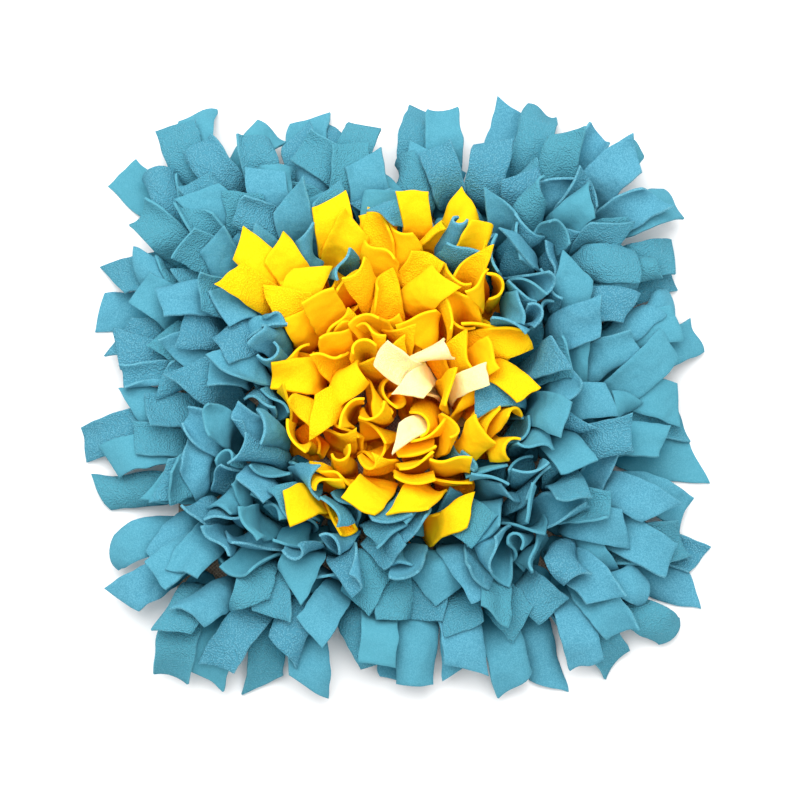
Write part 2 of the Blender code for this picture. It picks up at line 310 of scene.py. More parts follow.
@dataclass
class CurlMaker:
    """Draws the size, curl and folds of each lock, as uneven as hand-cut fleece.

    Bends are in turns of 1/m. Across, a lock is gathered at its root, and further on it is open, a trough,
    a roll or a wave, whose shares the kinds give in that order. Along, it is nearly straight. Some corners
    turn up or down. The tip and the rim are each the share where they start, of the length or of the base's
    half side, and the share that they take. The hold keeps a lock near where the solids lay it.
    """

    rows: int = 15
    columns: int = 6
    turned_over: float = 0.45
    width: tuple[float, float] = (0.90, 1.06)
    root_share: float = 0.42
    flare: float = 0.40
    root_bend: tuple[float, float] = (90, 160)
    open_bend: float = 22
    trough_bend: tuple[float, float] = (60, 125)
    roll_bend: tuple[float, float] = (120, 170)
    wave_bend: tuple[float, float] = (80, 160)
    swing: float = 0.38
    rim_swing: float = 0.13
    corner_bend: float = 90
    corner_share: float = 0.6
    corner_slope: float = 2.4
    corner_from: float = 0.2
    corner_rise: float = 0.7
    corner_along: float = 0.6
    tip: tuple[float, float] = (0.72, 0.28)
    tip_fade: float = 0.35
    along_bend: float = 8
    tip_along_bend: float = 18
    uneven_across: float = 16
    uneven_along: float = 9
    kinds: tuple[float, ...] = (0.24, 0.34, 0.14, 0.28)
    rim_kinds: tuple[float, ...] = (0.26, 0.40, 0.10, 0.24)
    inner_reach: float = 150 * MM
    least_kept: float = 0.6
    rim: tuple[float, float] = (0.82, 0.1)
    hold: tuple[float, float, float] = (0.010, 0.05, 0.03)

    def start(self, locks: list[Lock], wished: tuple[float, float], rng: Generator) -> Strips:
        """Lays the grids on the locks and draws their sizes and curl.

        Args:
            locks: The locks as they lie now.
            wished: Shortest and longest free length of those that aren't at the rim.
            rng: Random numbers.

        Returns:
            The arrays for the settling.
        """
        n, t = len(locks), np.linspace(0, 1, self.rows)
        u = np.linspace(-0.5, 0.5, self.columns)
        grid = np.zeros((n, self.rows, self.columns, 3))
        width = np.zeros((n, self.rows))
        for i, lock in enumerate(locks):
            left, right = lock.resampled(t)
            if rng.random() < self.turned_over:
                left, right = right, left
            width[i] = np.linalg.norm(right - left, axis=1)
            grid[i] = (left + right)[:, None] / 2 + (right - left)[:, None] * u[:, None]
        length = np.array([lock.length for lock in locks])
        out = abs(grid[:, 0].mean(1)[:, :2]).max(1) / (SIZES.base_side / 2)
        rim = np.clip((out - self.rim[0]) / self.rim[1], 0, 1)
        full_length = np.where(rim > 0.5, length, np.maximum(length, rng.uniform(*wished, n)))
        root_out = abs(grid[:, 0].mean(1)[:, :2]).max(1)
        tip_out = abs(grid[:, -1].mean(1)[:, :2]).max(1)
        past = (tip_out > self.inner_reach) & (rim < 0.5)
        kept = (self.inner_reach - root_out) / np.maximum(tip_out - root_out, 1 * MM)
        full_length = np.where(past, length * np.clip(kept, self.least_kept, 1), full_length)
        ease = np.clip(t / self.flare, 0, 1)
        ease = ease * ease * (3 - 2 * ease)
        full_width = np.array([lock.width for lock in locks])[:, None] * rng.uniform(*self.width, (n, 1))
        full_width = full_width * (self.root_share + (1 - self.root_share) * ease)
        across, along = self._bends(n, t, u, ease, rim, rng)
        held = np.array([lock.held for lock in locks])[:, None]
        everywhere, at_rim, at_root = self.hold
        hold = everywhere + held + at_rim * rim[:, None] * t + at_root * (1 - t)
        swing = self.swing * (1 - rim) + self.rim_swing * rim
        home = self._swung(grid.mean(2), rng.normal(0, 1, n) * swing * (held[:, 0] == 0))
        return Strips(grid, width, length, full_width, full_length, across, along, home, hold, np.zeros(n))

    @staticmethod
    def _swung(middle: Array, angle: Array) -> Array:
        """Middle lines, each turned by its own angle about the vertical through its root.

        Args:
            middle: Points along the middle of each lock.
            angle: Each lock's angle.

        Returns:
            The turned points.
        """
        off = middle - middle[:, :1]
        cos, sin = np.cos(angle)[:, None], np.sin(angle)[:, None]
        x, y, z = off[..., 0], off[..., 1], off[..., 2]
        return middle[:, :1] + np.stack((x * cos - y * sin, x * sin + y * cos, z), 2)

    def _bends(
        self, n: int, t: Array, u: Array, ease: Array, rim: Array, rng: Generator
    ) -> tuple[Array, Array]:
        """Wanted bends across and along, for every point of every lock.

        Args:
            n: Number of locks.
            t: Share of the length at each row.
            u: Share of the width at each column.
            ease: How far each row is open, from 0 at the root to 1.
            rim: How much each lock belongs to the rim.
            rng: Random numbers.

        Returns:
            The bends across and the bends along.
        """
        sign = rng.choice((-1.0, 1.0), n)
        draw = rng.random(n)
        shares = np.where(rim[:, None] > 0.5, np.cumsum(self.rim_kinds), np.cumsum(self.kinds))
        kind = (draw[:, None] > shares).sum(1).clip(0, len(Curl) - 1)
        bends = {
            Curl.OPEN: rng.normal(0, self.open_bend, n),
            Curl.TROUGH: rng.uniform(*self.trough_bend, n),
            Curl.ROLL: rng.uniform(*self.roll_bend, n),
            Curl.WAVE: np.zeros(n),
        }
        body = np.choose(kind, [bends[curl] for curl in Curl])
        late = np.clip((t - self.tip[0]) / self.tip[1], 0, 1)
        fade = 1 - self.tip_fade * late * (kind != Curl.ROLL)[:, None]
        root = (sign * rng.uniform(*self.root_bend, n))[:, None] * (1 - ease)
        across = (root + (sign * body)[:, None] * ease * fade)[:, :, None] + np.zeros(len(u))
        wave = np.where(kind == Curl.WAVE, rng.uniform(*self.wave_bend, n) * rng.choice((-1.0, 1.0), n), 0)
        across += wave[:, None, None] * ease[:, None] * np.sin(2 * np.pi * u)
        side = rng.choice((-1.0, 1.0), n)
        aside = side[:, None, None] * u * self.corner_slope - self.corner_from
        corner = np.clip(aside, 0, 1) * late[:, None] ** self.corner_rise
        turn = rng.normal(0, self.corner_bend, n) * (rng.random(n) < self.corner_share)
        across += turn[:, None, None] * corner
        across += rng.normal(0, self.uneven_across, across.shape)
        along = np.zeros_like(across) + rng.normal(0, self.along_bend, n)[:, None, None]
        along += (rng.normal(0, self.tip_along_bend, n)[:, None] * late)[:, :, None]
        along += self.corner_along * turn[:, None, None] * corner
        along += rng.normal(0, self.uneven_along, (n, len(t)))[:, :, None]
        return across, along


@dataclass(frozen=True)
class ShownEnd:
    """A strip's end that lies on top of the pile in a known place.

    The end's middle is at x and y, in mm, and it points along its heading, in degrees anticlockwise from +X.
    """

    dye: Fleece
    x: float
    y: float
    heading: float
    width: float = 25


SHOWN_ENDS = (
    ShownEnd(Fleece.YELLOW, -41, 116, 95),
    ShownEnd(Fleece.YELLOW, -19, 103, 62),
    ShownEnd(Fleece.YELLOW, 9, 120, 100, 18),
    ShownEnd(Fleece.YELLOW, 41, 116, 55),
    ShownEnd(Fleece.YELLOW, 56, 98, 62),
    ShownEnd(Fleece.YELLOW, -99, 86, 145, 22),
    ShownEnd(Fleece.YELLOW, -107, 69, 155, 20),
    ShownEnd(Fleece.YELLOW, -47, 74, 60),
    ShownEnd(Fleece.YELLOW, 41, 81, 80),
    ShownEnd(Fleece.YELLOW, -10, 73, 95),
    ShownEnd(Fleece.YELLOW, -78, 2, 185, 22),
    ShownEnd(Fleece.YELLOW, -64, -36, 215),
    ShownEnd(Fleece.YELLOW, -67, -79, 212),
    ShownEnd(Fleece.YELLOW, -22, -104, 300),
    ShownEnd(Fleece.YELLOW, 4, -96, 238),
    ShownEnd(Fleece.YELLOW, 50, -74, 15, 20),
    ShownEnd(Fleece.YELLOW, 78, 32, 10),
    ShownEnd(Fleece.YELLOW, 87, -18, -40, 18),
    ShownEnd(Fleece.TEAL, 49, -17, 190, 22),
    ShownEnd(Fleece.TEAL, -63, 37, 6),
    ShownEnd(Fleece.TEAL, 59, 78, 175, 20),
    ShownEnd(Fleece.TEAL, -14, 92, 200, 18),
    ShownEnd(Fleece.TEAL, -98, -146, 245),
    ShownEnd(Fleece.CREAM, -18, 22, 150),
    ShownEnd(Fleece.CREAM, 37, 18, 15),
    ShownEnd(Fleece.CREAM, 3, -18, 240, 18),
    ShownEnd(Fleece.CREAM, 53, -2, 12, 15),
    ShownEnd(Fleece.CREAM, -6, -41, 215, 16),
)


@dataclass
class GapFiller:
    """Lays the shown ends on top of the pile, and further locks in its low places.

    Each is laid narrow, where nothing is in its way, and widened later. The best of many draws is kept. Rises
    are in degrees above the level, at the root and at the tip. Asides and shown ends' lengths are in mm.
    """

    draws: int = 360
    shown_draws: int = 1800
    rows: int = 15
    cell: float = 2 * MM
    half_cells: int = 110
    high_cells: int = 56
    root_reach: float = 122 * MM
    tip_reach: float = 146 * MM
    length: tuple[float, float] = (58 * MM, 70 * MM)
    start_width: float = 3 * MM
    rim_height: float = 20 * MM
    middle_height: float = 58 * MM
    shown_hold: float = 0.05
    roll: float = math.radians(80)
    aside: float = 0.5
    asides: tuple[float, ...] = (-9, -4.5, 4.5, 9)
    unlooked: tuple[int, int] = (4, 14)
    hidden: float = 0.4
    hidden_rows: int = 12
    heading_spread: tuple[float, float] = (1.3, 0.6)
    rise_root: tuple[float, float] = (58, 95)
    rise_tip: tuple[float, float] = (-35, 70)
    rim_drop: float = 30
    bend: tuple[float, float] = (0.6, 1.8)
    spread: float = 0.3
    clear: float = 2 * MM
    shown_back: tuple[float, float] = (22, 50)
    shown_aside: float = 5 * MM
    shown_rise_root: tuple[float, float] = (74, 100)
    shown_rise_tip: tuple[float, float] = (-50, 25)
    shown_length: tuple[float, float] = (62, 84)
    shown_bend: tuple[float, float] = (0.8, 2.6)
    taken_cost: float = 40
    under_cost: float = 2.5
    under: tuple[float, float] = (2, 12)
    floating_cost: float = 0.8
    floating_from: float = 8
    looked: tuple[float, ...] = (-8, 0, 8)
    most_gain: float = 20 * MM
    proud_cost: float = 0.7
    proud_from: float = 6 * MM
    taken: Array = field(init=False)
    top: Array = field(init=False)

    def fill(
        self, locks: list[Lock], grid: Array, shown_ends: list[ShownEnd], number: int, rng: Generator
    ) -> list[Lock]:
        """Lays the shown ends and further locks.

        Args:
            locks: The locks that lie already.
            grid: Their settled middle surfaces.
            shown_ends: The shown ends to lay.
            number: How many further locks.
            rng: Random numbers.

        Returns:
            The new locks, each of the dye of the pile round it.
        """
        size = 2 * self.half_cells
        self.taken = np.zeros((size, size, self.high_cells), bool)
        self.top = np.zeros((size, size))
        fine = self.finer(grid)
        self._mark(fine, fine)
        roots = np.array([lock.root for lock in locks])
        outer = grid[:, 2 * self.rows // 3].mean(1)
        far_dye = np.array([1.0 if lock.node.startswith(Fleece.CREAM.value) else 0.0 for lock in locks])
        made = []
        for shown in shown_ends:
            spine, side = self._drawn_to(shown, rng)
            best = int(np.argmax(self._likeness(shown, spine, side)))
            node = f"{shown.dye.value}_centre"
            if shown.dye is Fleece.TEAL:
                apart = np.linalg.norm(roots[:, :2] - spine[best, 0, :2], axis=1)
                apart += [0 if lock.node.startswith(shown.dye.value) else 1 for lock in locks]
                node = locks[int(np.argmin(apart))].node
            made.append(self._laid(node, spine[best], side[best], True, shown.width * MM, self.shown_hold))
        for _ in range(number):
            spine, side = self._drawn(rng)
            best = int(np.argmax(self._scores(spine, side)))
            apart = np.linalg.norm(outer - spine[best, 2 * self.rows // 3], axis=1) + far_dye
            made.append(self._laid(locks[int(np.argmin(apart))].node, spine[best], side[best], False))
        return made

    def _laid(
        self,
        node: str,
        spine: Array,
        side: Array,
        sure: bool,
        width: float = SIZES.strip_width,
        held: float = 0.0,
    ) -> Lock:
        """Makes a narrow lock, and marks the cells that it takes and those that it will hide.

        Args:
            node: Name of the CAD node that it belongs to.
            spine: Points along its middle.
            side: Unit vectors sideways at them.
            sure: Whether it stays even if it cuts through another.
            width: Its full width.
            held: How firmly it is held where it lies.

        Returns:
            The lock.
        """
        line = self._dense(spine)
        across = np.linspace(-self.hidden, self.hidden, self.hidden_rows)[:, None, None]
        self._mark(line, line + across * (self._dense(side) * width))
        narrow = side * self.start_width / 2
        return Lock(node, spine - narrow, spine + narrow, width, held, sure)

    def _drawn_to(self, shown: ShownEnd, rng: Generator) -> tuple[Array, Array]:
        """Draws ways to lie that end near a shown end.

        Args:
            shown: The shown end.
            rng: Random numbers.

        Returns:
            Points along the middle, and the level unit vectors sideways.
        """
        n = self.shown_draws
        ahead = math.radians(shown.heading)
        back = rng.uniform(*self.shown_back, n) * MM
        heading = ahead + rng.normal(0, self.spread, n)
        root = np.zeros((n, 3))
        root[:, 0] = shown.x * MM - back * math.cos(ahead) + rng.normal(0, self.shown_aside, n)
        root[:, 1] = shown.y * MM - back * math.sin(ahead) + rng.normal(0, self.shown_aside, n)
        root[:, 2] = SIZES.pad_top
        rises = [np.radians(rng.uniform(*rise, n)) for rise in (self.shown_rise_root, self.shown_rise_tip)]
        length = rng.uniform(*self.shown_length, n) * MM
        return self._spines(root, heading, ahead - heading, rises, length, rng.uniform(*self.shown_bend, n))

    def _likeness(self, shown: ShownEnd, spine: Array, side: Array) -> Array:
        """How near each way of lying comes to a shown end, on top of the pile and free of other strips.

        Args:
            shown: The shown end.
            spine: Points along the middle of each way.
            side: Unit vectors sideways.

        Returns:
            A number for each way, higher where it is nearer.
        """
        tip = spine[:, -1]
        miss = np.linalg.norm(tip[:, :2] - np.array((shown.x, shown.y)) * MM, axis=1) / MM
        outer = spine[:, 2 * self.rows // 3 :]
        x, y, _ = self.cells(outer)
        over = (outer[..., 2] - self.top[x, y]) / MM
        under = np.clip(self.under[0] - over, 0, self.under[1]).mean(1)
        floating = np.clip(over - self.floating_from, 0, None).mean(1)
        piled = self.under_cost * under
        return -miss - piled - self.floating_cost * floating - self.taken_cost * self._hits(spine, side)

    def _hits(self, spine: Array, side: Array) -> Array:
        """Share of each way of lying that is taken, the middle more than the sides.

        Args:
            spine: Points along the middle of each way.
            side: Unit vectors sideways.

        Returns:
            The shares.
        """
        for _ in range(2):
            both = np.zeros((2, len(spine), 2 * spine.shape[1] - 1, 3))
            for k, line in enumerate((spine, side)):
                both[k, :, ::2], both[k, :, 1::2] = line, (line[:, 1:] + line[:, :-1]) / 2
            spine, side = both
        middle, edge = self.unlooked
        shares = [self.taken[self.cells(spine[:, middle:])].mean(1)]
        for aside in self.asides:
            shares.append(self.taken[self.cells(spine[:, edge:] + side[:, edge:] * aside * MM)].mean(1))
        return shares[0] + self.aside * np.mean(shares[1:], 0)

    @staticmethod
    def _dense(points: Array) -> Array:
        """A row of points with three times as many."""
        at = np.linspace(0, len(points) - 1, 3 * len(points))
        return np.stack([np.interp(at, np.arange(len(points)), points[:, a]) for a in range(3)], 1)

    @staticmethod
    def finer(grid: Array) -> Array:
        """The grids with points between their points, along and across.

        Args:
            grid: Points (lock, row, column, xyz).

        Returns:
            The finer grids.
        """
        for axis in (1, 2, 1, 2):
            first = grid.take(range(grid.shape[axis] - 1), axis)
            mean = (first + grid.take(range(1, grid.shape[axis]), axis)) / 2
            place = np.arange(first.shape[axis] + 1)
            order = np.argsort(np.concatenate((place, place[:-1] + 0.5)))
            grid = np.concatenate((grid, mean), axis).take(order, axis)
        return grid

    def cells(self, points: Array) -> tuple[Array, Array, Array]:
        """Cell numbers of points.

        Args:
            points: Any points.

        Returns:
            The cell numbers along X, Y and Z.
        """
        cell = np.floor(points / self.cell).astype(int)
        cell[..., :2] = np.clip(cell[..., :2] + self.half_cells, 0, 2 * self.half_cells - 1)
        cell[..., 2] = np.clip(cell[..., 2], 0, self.high_cells - 1)
        return cell[..., 0], cell[..., 1], cell[..., 2]

    def _mark(self, solid: Array, seen: Array) -> None:
        """Marks the cells that are filled, and the height that is seen from above.

        Args:
            solid: Points that fill their cells.
            seen: Points that show from above.
        """
        self.taken[self.cells(solid.reshape(-1, 3))] = True
        x, y, _ = self.cells(seen.reshape(-1, 3))
        np.maximum.at(self.top, (x, y), seen.reshape(-1, 3)[:, 2])

    def _drawn(self, rng: Generator) -> tuple[Array, Array]:
        """Draws ways to lie anywhere on the base.

        Args:
            rng: Random numbers.

        Returns:
            Points along the middle, and the unit vectors sideways.
        """
        n = self.draws
        root = np.zeros((n, 3))
        root[:, :2] = rng.uniform(-self.root_reach, self.root_reach, (n, 2))
        root[:, 2] = SIZES.pad_top
        far = abs(root[:, :2]).max(1) / self.root_reach
        inner, less = self.heading_spread
        heading = np.arctan2(root[:, 1], root[:, 0]) + rng.normal(0, 1, n) * (inner - less * far)
        rise_root = np.radians(rng.uniform(*self.rise_root, n))
        rise_tip = np.radians(rng.uniform(*self.rise_tip, n) - self.rim_drop * far)
        length = rng.uniform(*self.length, n)
        turn = rng.normal(0, self.spread, n)
        bend = rng.uniform(*self.bend, n)
        spine, level = self._spines(root, heading, turn, [rise_root, rise_tip], length, bend)
        ahead = np.gradient(spine, axis=1)
        ahead /= np.maximum(np.linalg.norm(ahead, axis=2, keepdims=True), 1e-9)
        roll = rng.uniform(-self.roll, self.roll, n)[:, None] * np.clip(np.linspace(0, 2, self.rows), 0, 1)
        return spine, level * np.cos(roll)[..., None] + np.cross(ahead, level) * np.sin(roll)[..., None]

    def _spines(
        self, root: Array, heading: Array, turn: Array, rises: list[Array], length: Array, bend: Array
    ) -> tuple[Array, Array]:
        """Lays locks that leave the base at one rise and end at another.

        Args:
            root: Where each one starts.
            heading: The way that it starts, about the vertical.
            turn: How much the heading turns along it.
            rises: Its rise at the root and at the tip.
            length: Its length.
            bend: How late the rise changes.

        Returns:
            Points along the middle, and the level unit vectors sideways.
        """
        t = np.linspace(0, 1, self.rows)[None]
        rise = rises[0][:, None] + (rises[1] - rises[0])[:, None] * t ** bend[:, None]
        swing = heading[:, None] + turn[:, None] * t
        step = (length / (self.rows - 1))[:, None]
        move = np.stack((np.cos(rise) * np.cos(swing), np.cos(rise) * np.sin(swing), np.sin(rise)), 2)
        spine = root[:, None] + np.cumsum(move * step[..., None], axis=1) - move[:, :1] * step[..., None]
        spine[..., 2] = np.maximum(spine[..., 2], SIZES.pad_top + self.clear)
        side = np.stack((-np.sin(swing), np.cos(swing), 0 * swing), 2)
        return spine, side

    def _scores(self, spine: Array, side: Array) -> Array:
        """How much bare pile each way of lying covers, less what it would cut through.

        Args:
            spine: Points along the middle of each way.
            side: Unit vectors sideways.

        Returns:
            A number for each way, higher where it is better.
        """
        first = self.rows // 3
        outer = spine[:, first:, None] + side[:, first:, None] * np.array(self.looked)[:, None] * MM
        x, y, _ = self.cells(outer)
        far = np.clip(abs(outer[..., :2]).max(-1) / self.tip_reach, 0, 1)
        want = self.rim_height + (self.middle_height - self.rim_height) * (1 - far**2)
        above = np.minimum(outer[..., 2], want) - self.top[x, y]
        gain = np.clip(above, 0, self.most_gain).mean((1, 2)) / MM
        proud = np.clip(outer[..., 2] - want - self.proud_from, 0, None).mean((1, 2)) / MM
        past = np.clip(abs(spine[..., :2]).max(-1) - self.tip_reach, 0, None).max(1) / MM
        return gain - self.proud_cost * proud - self.taken_cost * self._hits(spine, side) - past


@dataclass
class Settler:
    """Widens, curls and settles all the strips together.

    Every lock is a grid of points, rows along it and columns across it. Distances keep the cloth from
    stretching, bends follow each strip's own curl, and points of one strip keep off the others' faces. Near
    points are found in cells as wide as the reach, numbered from a far corner, a span of cells to a row.
    """

    curls: CurlMaker
    filler: GapFiller
    batches: tuple[tuple[int, tuple[Fleece, ...]], ...] = (
        (70, (Fleece.TEAL, Fleece.YELLOW)),
        (80, ()),
        (80, (Fleece.CREAM,)),
    )
    length: tuple[float, float] = (60 * MM, 74 * MM)
    rounds: tuple[int, int, int] = (150, 110, 40)
    quick_rounds: tuple[int, int, int] = (24, 16, 4)
    growing: int = 55
    grown_by: float = 0.6
    apart: float = 2.0 * MM
    most_push: float = 1.2
    shared_push: float = 0.6
    reach: float = 6.6 * MM
    corner: float = 0.4
    span: int = 1024
    disc: float = 3.8 * MM
    fade: float = 1.6 * MM
    droop: float = 0.05 * MM
    # Painted shade deepens over this depth below the pile's top; the top share, lit, takes none.
    deep: float = 26 * MM
    lit: float = 0.08
    blur: int = 3
    stiff: float = 0.9
    bias_stiff: float = 0.35
    across_pull: float = 0.24
    along_pull: float = 0.28
    over_base: float = 3.2 * MM
    over_floor: float = 0.2 * MM
    opening: float = 0.1
    look_tangled: int = 8
    look_near: int = 4
    slant: float = 0.075
    ragged: float = 0.022
    uneven: float = 0.55 * MM
    most_trim: float = 0.38
    trim_margin: float = 0.15
    seed: int = 22
    strips: Strips = field(init=False)
    tangled: Array = field(init=False)

    def settle(self, locks: list[Lock]) -> tuple[list[Lock], Array]:
        """Settles the locks, and the further ones that fill the gaps.

        Args:
            locks: Every lock of the solids.

        Returns:
            All the locks, and the points (lock, row, column, xyz) of their settled middle surfaces.
        """
        rng = np.random.default_rng(self.seed)
        first, more_rounds, last = self.rounds
        self.growing = min(self.growing, int(self.grown_by * first))
        locks = [lock for lock in locks if not lock.node.startswith(Fleece.CREAM.value)]
        self.strips = self.curls.start(locks, self.length, rng)
        self._rounds(first)
        for k, (number, dyes) in enumerate(self.batches):
            shown = [end for end in SHOWN_ENDS if end.dye in dyes]
            more = self.filler.fill(locks, self.strips.grid, shown, number, rng)
            self.strips = self.strips.joined(self.curls.start(more, self.filler.length, rng))
            self._rounds(more_rounds)
            locks += more
            kept = self._uncut(np.array([lock.sure for lock in locks]))
            self.strips = self.strips.only(kept)
            locks = [lock for lock, keep in zip(locks, kept) if keep]
            LOG.info("%d locks after batch %d", len(locks), k + 1)
        self._rounds(last)
        return locks, self._cut(rng)

    def _uncut(self, sure: Array) -> Array:
        """Which locks to keep, so that only those that are sure to stay cut through each other.

        Args:
            sure: Which locks are sure to stay.

        Returns:
            Whether each lock is kept.
        """
        n = len(self.strips.grid)
        keep = np.ones(n, bool)
        pairs = np.stack(np.divmod(self._tangled(), n), 1)
        while len(pairs):
            count = np.bincount(pairs.ravel(), minlength=n)
            count[sure] = 0
            worst = int(np.argmax(count))
            if count[worst] == 0:
                break
            keep[worst] = False
            pairs = pairs[(pairs != worst).all(1)]
        return keep

    def buried(self, grid: Array) -> Array:
        """How deep each point lies in the pile, from 0 on top to 1 well down, for the painted shade of the
        pile's depths.

        Args:
            grid: The settled points.

        Returns:
            The depths, one for each point.
        """
        size, around = 2 * self.filler.half_cells, range(-self.blur, self.blur + 1)
        top = np.zeros((size, size))
        fine = self.filler.finer(grid)
        x, y, _ = self.filler.cells(fine)
        np.maximum.at(top, (x, y), fine[..., 2])
        for axis in (0, 1):
            top = sum(np.roll(top, k, axis) for k in around) / len(around)
        x, y, _ = self.filler.cells(grid)
        return np.clip((top[x, y] - grid[..., 2]) / self.deep - self.lit, 0, 1)

    def _rounds(self, number: int) -> None:
        """Some rounds, with the near pairs looked up now and then.

        Args:
            number: How many rounds.
        """
        pairs: tuple[Array, ...] = ()
        for k in range(number):
            if k % self.look_tangled == 0:
                self.tangled = self._tangled()
            if k % self.look_near == 0:
                pairs = self._pairs()
            self._round(pairs)
            self.strips.age += 1

    def _normals(self) -> Array:
        """Unit normals of the middle surfaces.

        Returns:
            One normal for each point.
        """
        grid = self.strips.grid
        normal = np.cross(np.gradient(grid, axis=1), np.gradient(grid, axis=2))
        return normal / np.maximum(np.linalg.norm(normal, axis=3, keepdims=True), 1e-9)

    @staticmethod
    def _pull(a: Array, b: Array, rest: Array, stiff: float) -> None:
        """Moves two sets of points towards their rest distance, in place.

        Args:
            a: The first points.
            b: The second points.
            rest: Their rest distance.
            stiff: The share of the difference that is made good.
        """
        gap = b - a
        size = np.maximum(np.linalg.norm(gap, axis=-1, keepdims=True), 1e-9)
        move = gap * ((size - rest) / size * stiff * 0.5)
        a += move
        b -= move

    def _stretch(self, share: Array) -> None:
        """Keeps the cloth's own lengths, along, across and on the bias.

        Args:
            share: How far each lock has grown to its full size.
        """
        s, g = self.strips, self.strips.grid
        rows, columns = g.shape[1:3]
        width = s.width + (s.full_width - s.width) * share[:, None]
        length = s.length + (s.full_length - s.length) * share
        along = (length / (rows - 1))[:, None, None, None]
        across = (width / (columns - 1))[:, :, None, None]
        for first in (0, 1):
            self._pull(g[:, first:-1:2], g[:, first + 1 :: 2], along, self.stiff)
            self._pull(g[:, :, first:-1:2], g[:, :, first + 1 :: 2], across, self.stiff)
        mean = (across[:, :-1] + across[:, 1:]) / 2
        bias = np.sqrt(along**2 + mean**2)
        for first in (0, 1):
            rest = bias[:, first::2]
            self._pull(g[:, first:-1:2, :-1], g[:, first + 1 :: 2, 1:], rest, self.bias_stiff)
            self._pull(g[:, first:-1:2, 1:], g[:, first + 1 :: 2, :-1], rest, self.bias_stiff)

    def _bend(self, normals: Array, share: Array) -> None:
        """Bends each strip towards its own curl, across and along.

        Args:
            normals: The points' normals.
            share: How far each lock has grown to its full curl.
        """
        s, g = self.strips, self.strips.grid
        rows, columns = g.shape[1:3]
        width = (s.full_width / (columns - 1))[:, :, None]
        step = (s.full_length / (rows - 1))[:, None, None]
        share = share[:, None, None]
        lift = (s.across_bend * width**2 / 2 * share)[..., None] * normals
        self._curl(g.swapaxes(1, 2), lift.swapaxes(1, 2), self.across_pull)
        lift = (s.along_bend * step**2 / 2 * share)[..., None] * normals
        self._curl(g, lift, self.along_pull)

    @staticmethod
    def _curl(grid: Array, lift: Array, pull: float) -> None:
        """Moves each row of points and its neighbours towards the row's lift, in place.

        Args:
            grid: The points.
            lift: How far each lies from the line between its neighbours, once it is curled.
            pull: The share of the difference that is made good.
        """
        off = (grid[:, :-2] + grid[:, 2:]) / 2 - grid[:, 1:-1] - lift[:, 1:-1]
        grid[:, 1:-1] += pull * off
        grid[:, :-2] -= pull / 2 * off
        grid[:, 2:] -= pull / 2 * off

    def _crossings(self) -> tuple[Array, Array]:
        """Finds where strips cut through each other.

        Returns:
            The two strips of each place, and its row in each of them.
        """
        grid = self.strips.grid
        n, rows, columns, _ = grid.shape
        index = np.arange(n * rows * columns).reshape(n, rows, columns)[:, 1:]
        faces = faces_of(index)
        tree = BVHTree.FromPolygons(grid.reshape(-1, 3).tolist(), faces.reshape(-1, 4).tolist())
        face = np.array(tree.overlap(tree), int).reshape(-1, 2)
        lock, row = np.divmod(face // faces.shape[2], faces.shape[1])
        once = lock[:, 0] < lock[:, 1]
        return lock[once], row[once] + 1

    def _tangled(self) -> Array:
        """The pairs of strips that cut through each other, as first strip times their number plus second."""
        return np.unique(self._crossings()[0] @ np.array((len(self.strips.grid), 1)))

    def _trims(self) -> Array:
        """How much to cut off each strip whose tip would poke through another.

        Returns:
            A share of the length for each strip.
        """
        lock, row = self._crossings()
        n, rows = self.strips.grid.shape[:2]
        trims = np.zeros(n)
        for pair in np.unique(lock, axis=0):
            first = row[(lock == pair).all(1)].min(0)
            outer = int(np.argmax(first))
            trim = 1 - (first[outer] - self.trim_margin) / (rows - 1)
            if trim < self.most_trim:
                trims[pair[outer]] = max(trims[pair[outer]], trim)
        LOG.info("%d pairs cross, %d strips cut shorter", len(np.unique(lock, axis=0)), (trims > 0).sum())
        return trims

    def _parted_sides(self, a: Array, b: Array, side_a: Array, side_b: Array) -> tuple[Array, Array]:
        """Puts all of one strip on one side of a strip that it cuts through, where most of it lies.

        Args:
            a: The first point of each near pair.
            b: The second point.
            side_a: The side of the first on which the second lies.
            side_b: The side of the second on which the first lies.

        Returns:
            The two sides, those of the tangled strips changed.
        """
        n, size = self.strips.grid.shape[0], self.strips.grid[0, ..., 0].size
        lock_a, lock_b = a // size, b // size
        cut = np.isin(np.minimum(lock_a, lock_b) * n + np.maximum(lock_a, lock_b), self.tangled)
        if not cut.any():
            return side_a, side_b
        near_root = 3 - 2 * ((a[cut] % size) + (b[cut] % size)) / (2 * size)
        keys = np.concatenate((lock_a[cut] * n + lock_b[cut], lock_b[cut] * n + lock_a[cut]))
        votes = np.concatenate((side_a[cut] * near_root, -side_b[cut] * near_root))
        _, place = np.unique(keys, return_inverse=True)
        most = np.where(np.bincount(place, votes) < 0, -1.0, 1.0)[place]
        side_a[cut], side_b[cut] = most[: cut.sum()], -most[cut.sum() :]
        return side_a, side_b

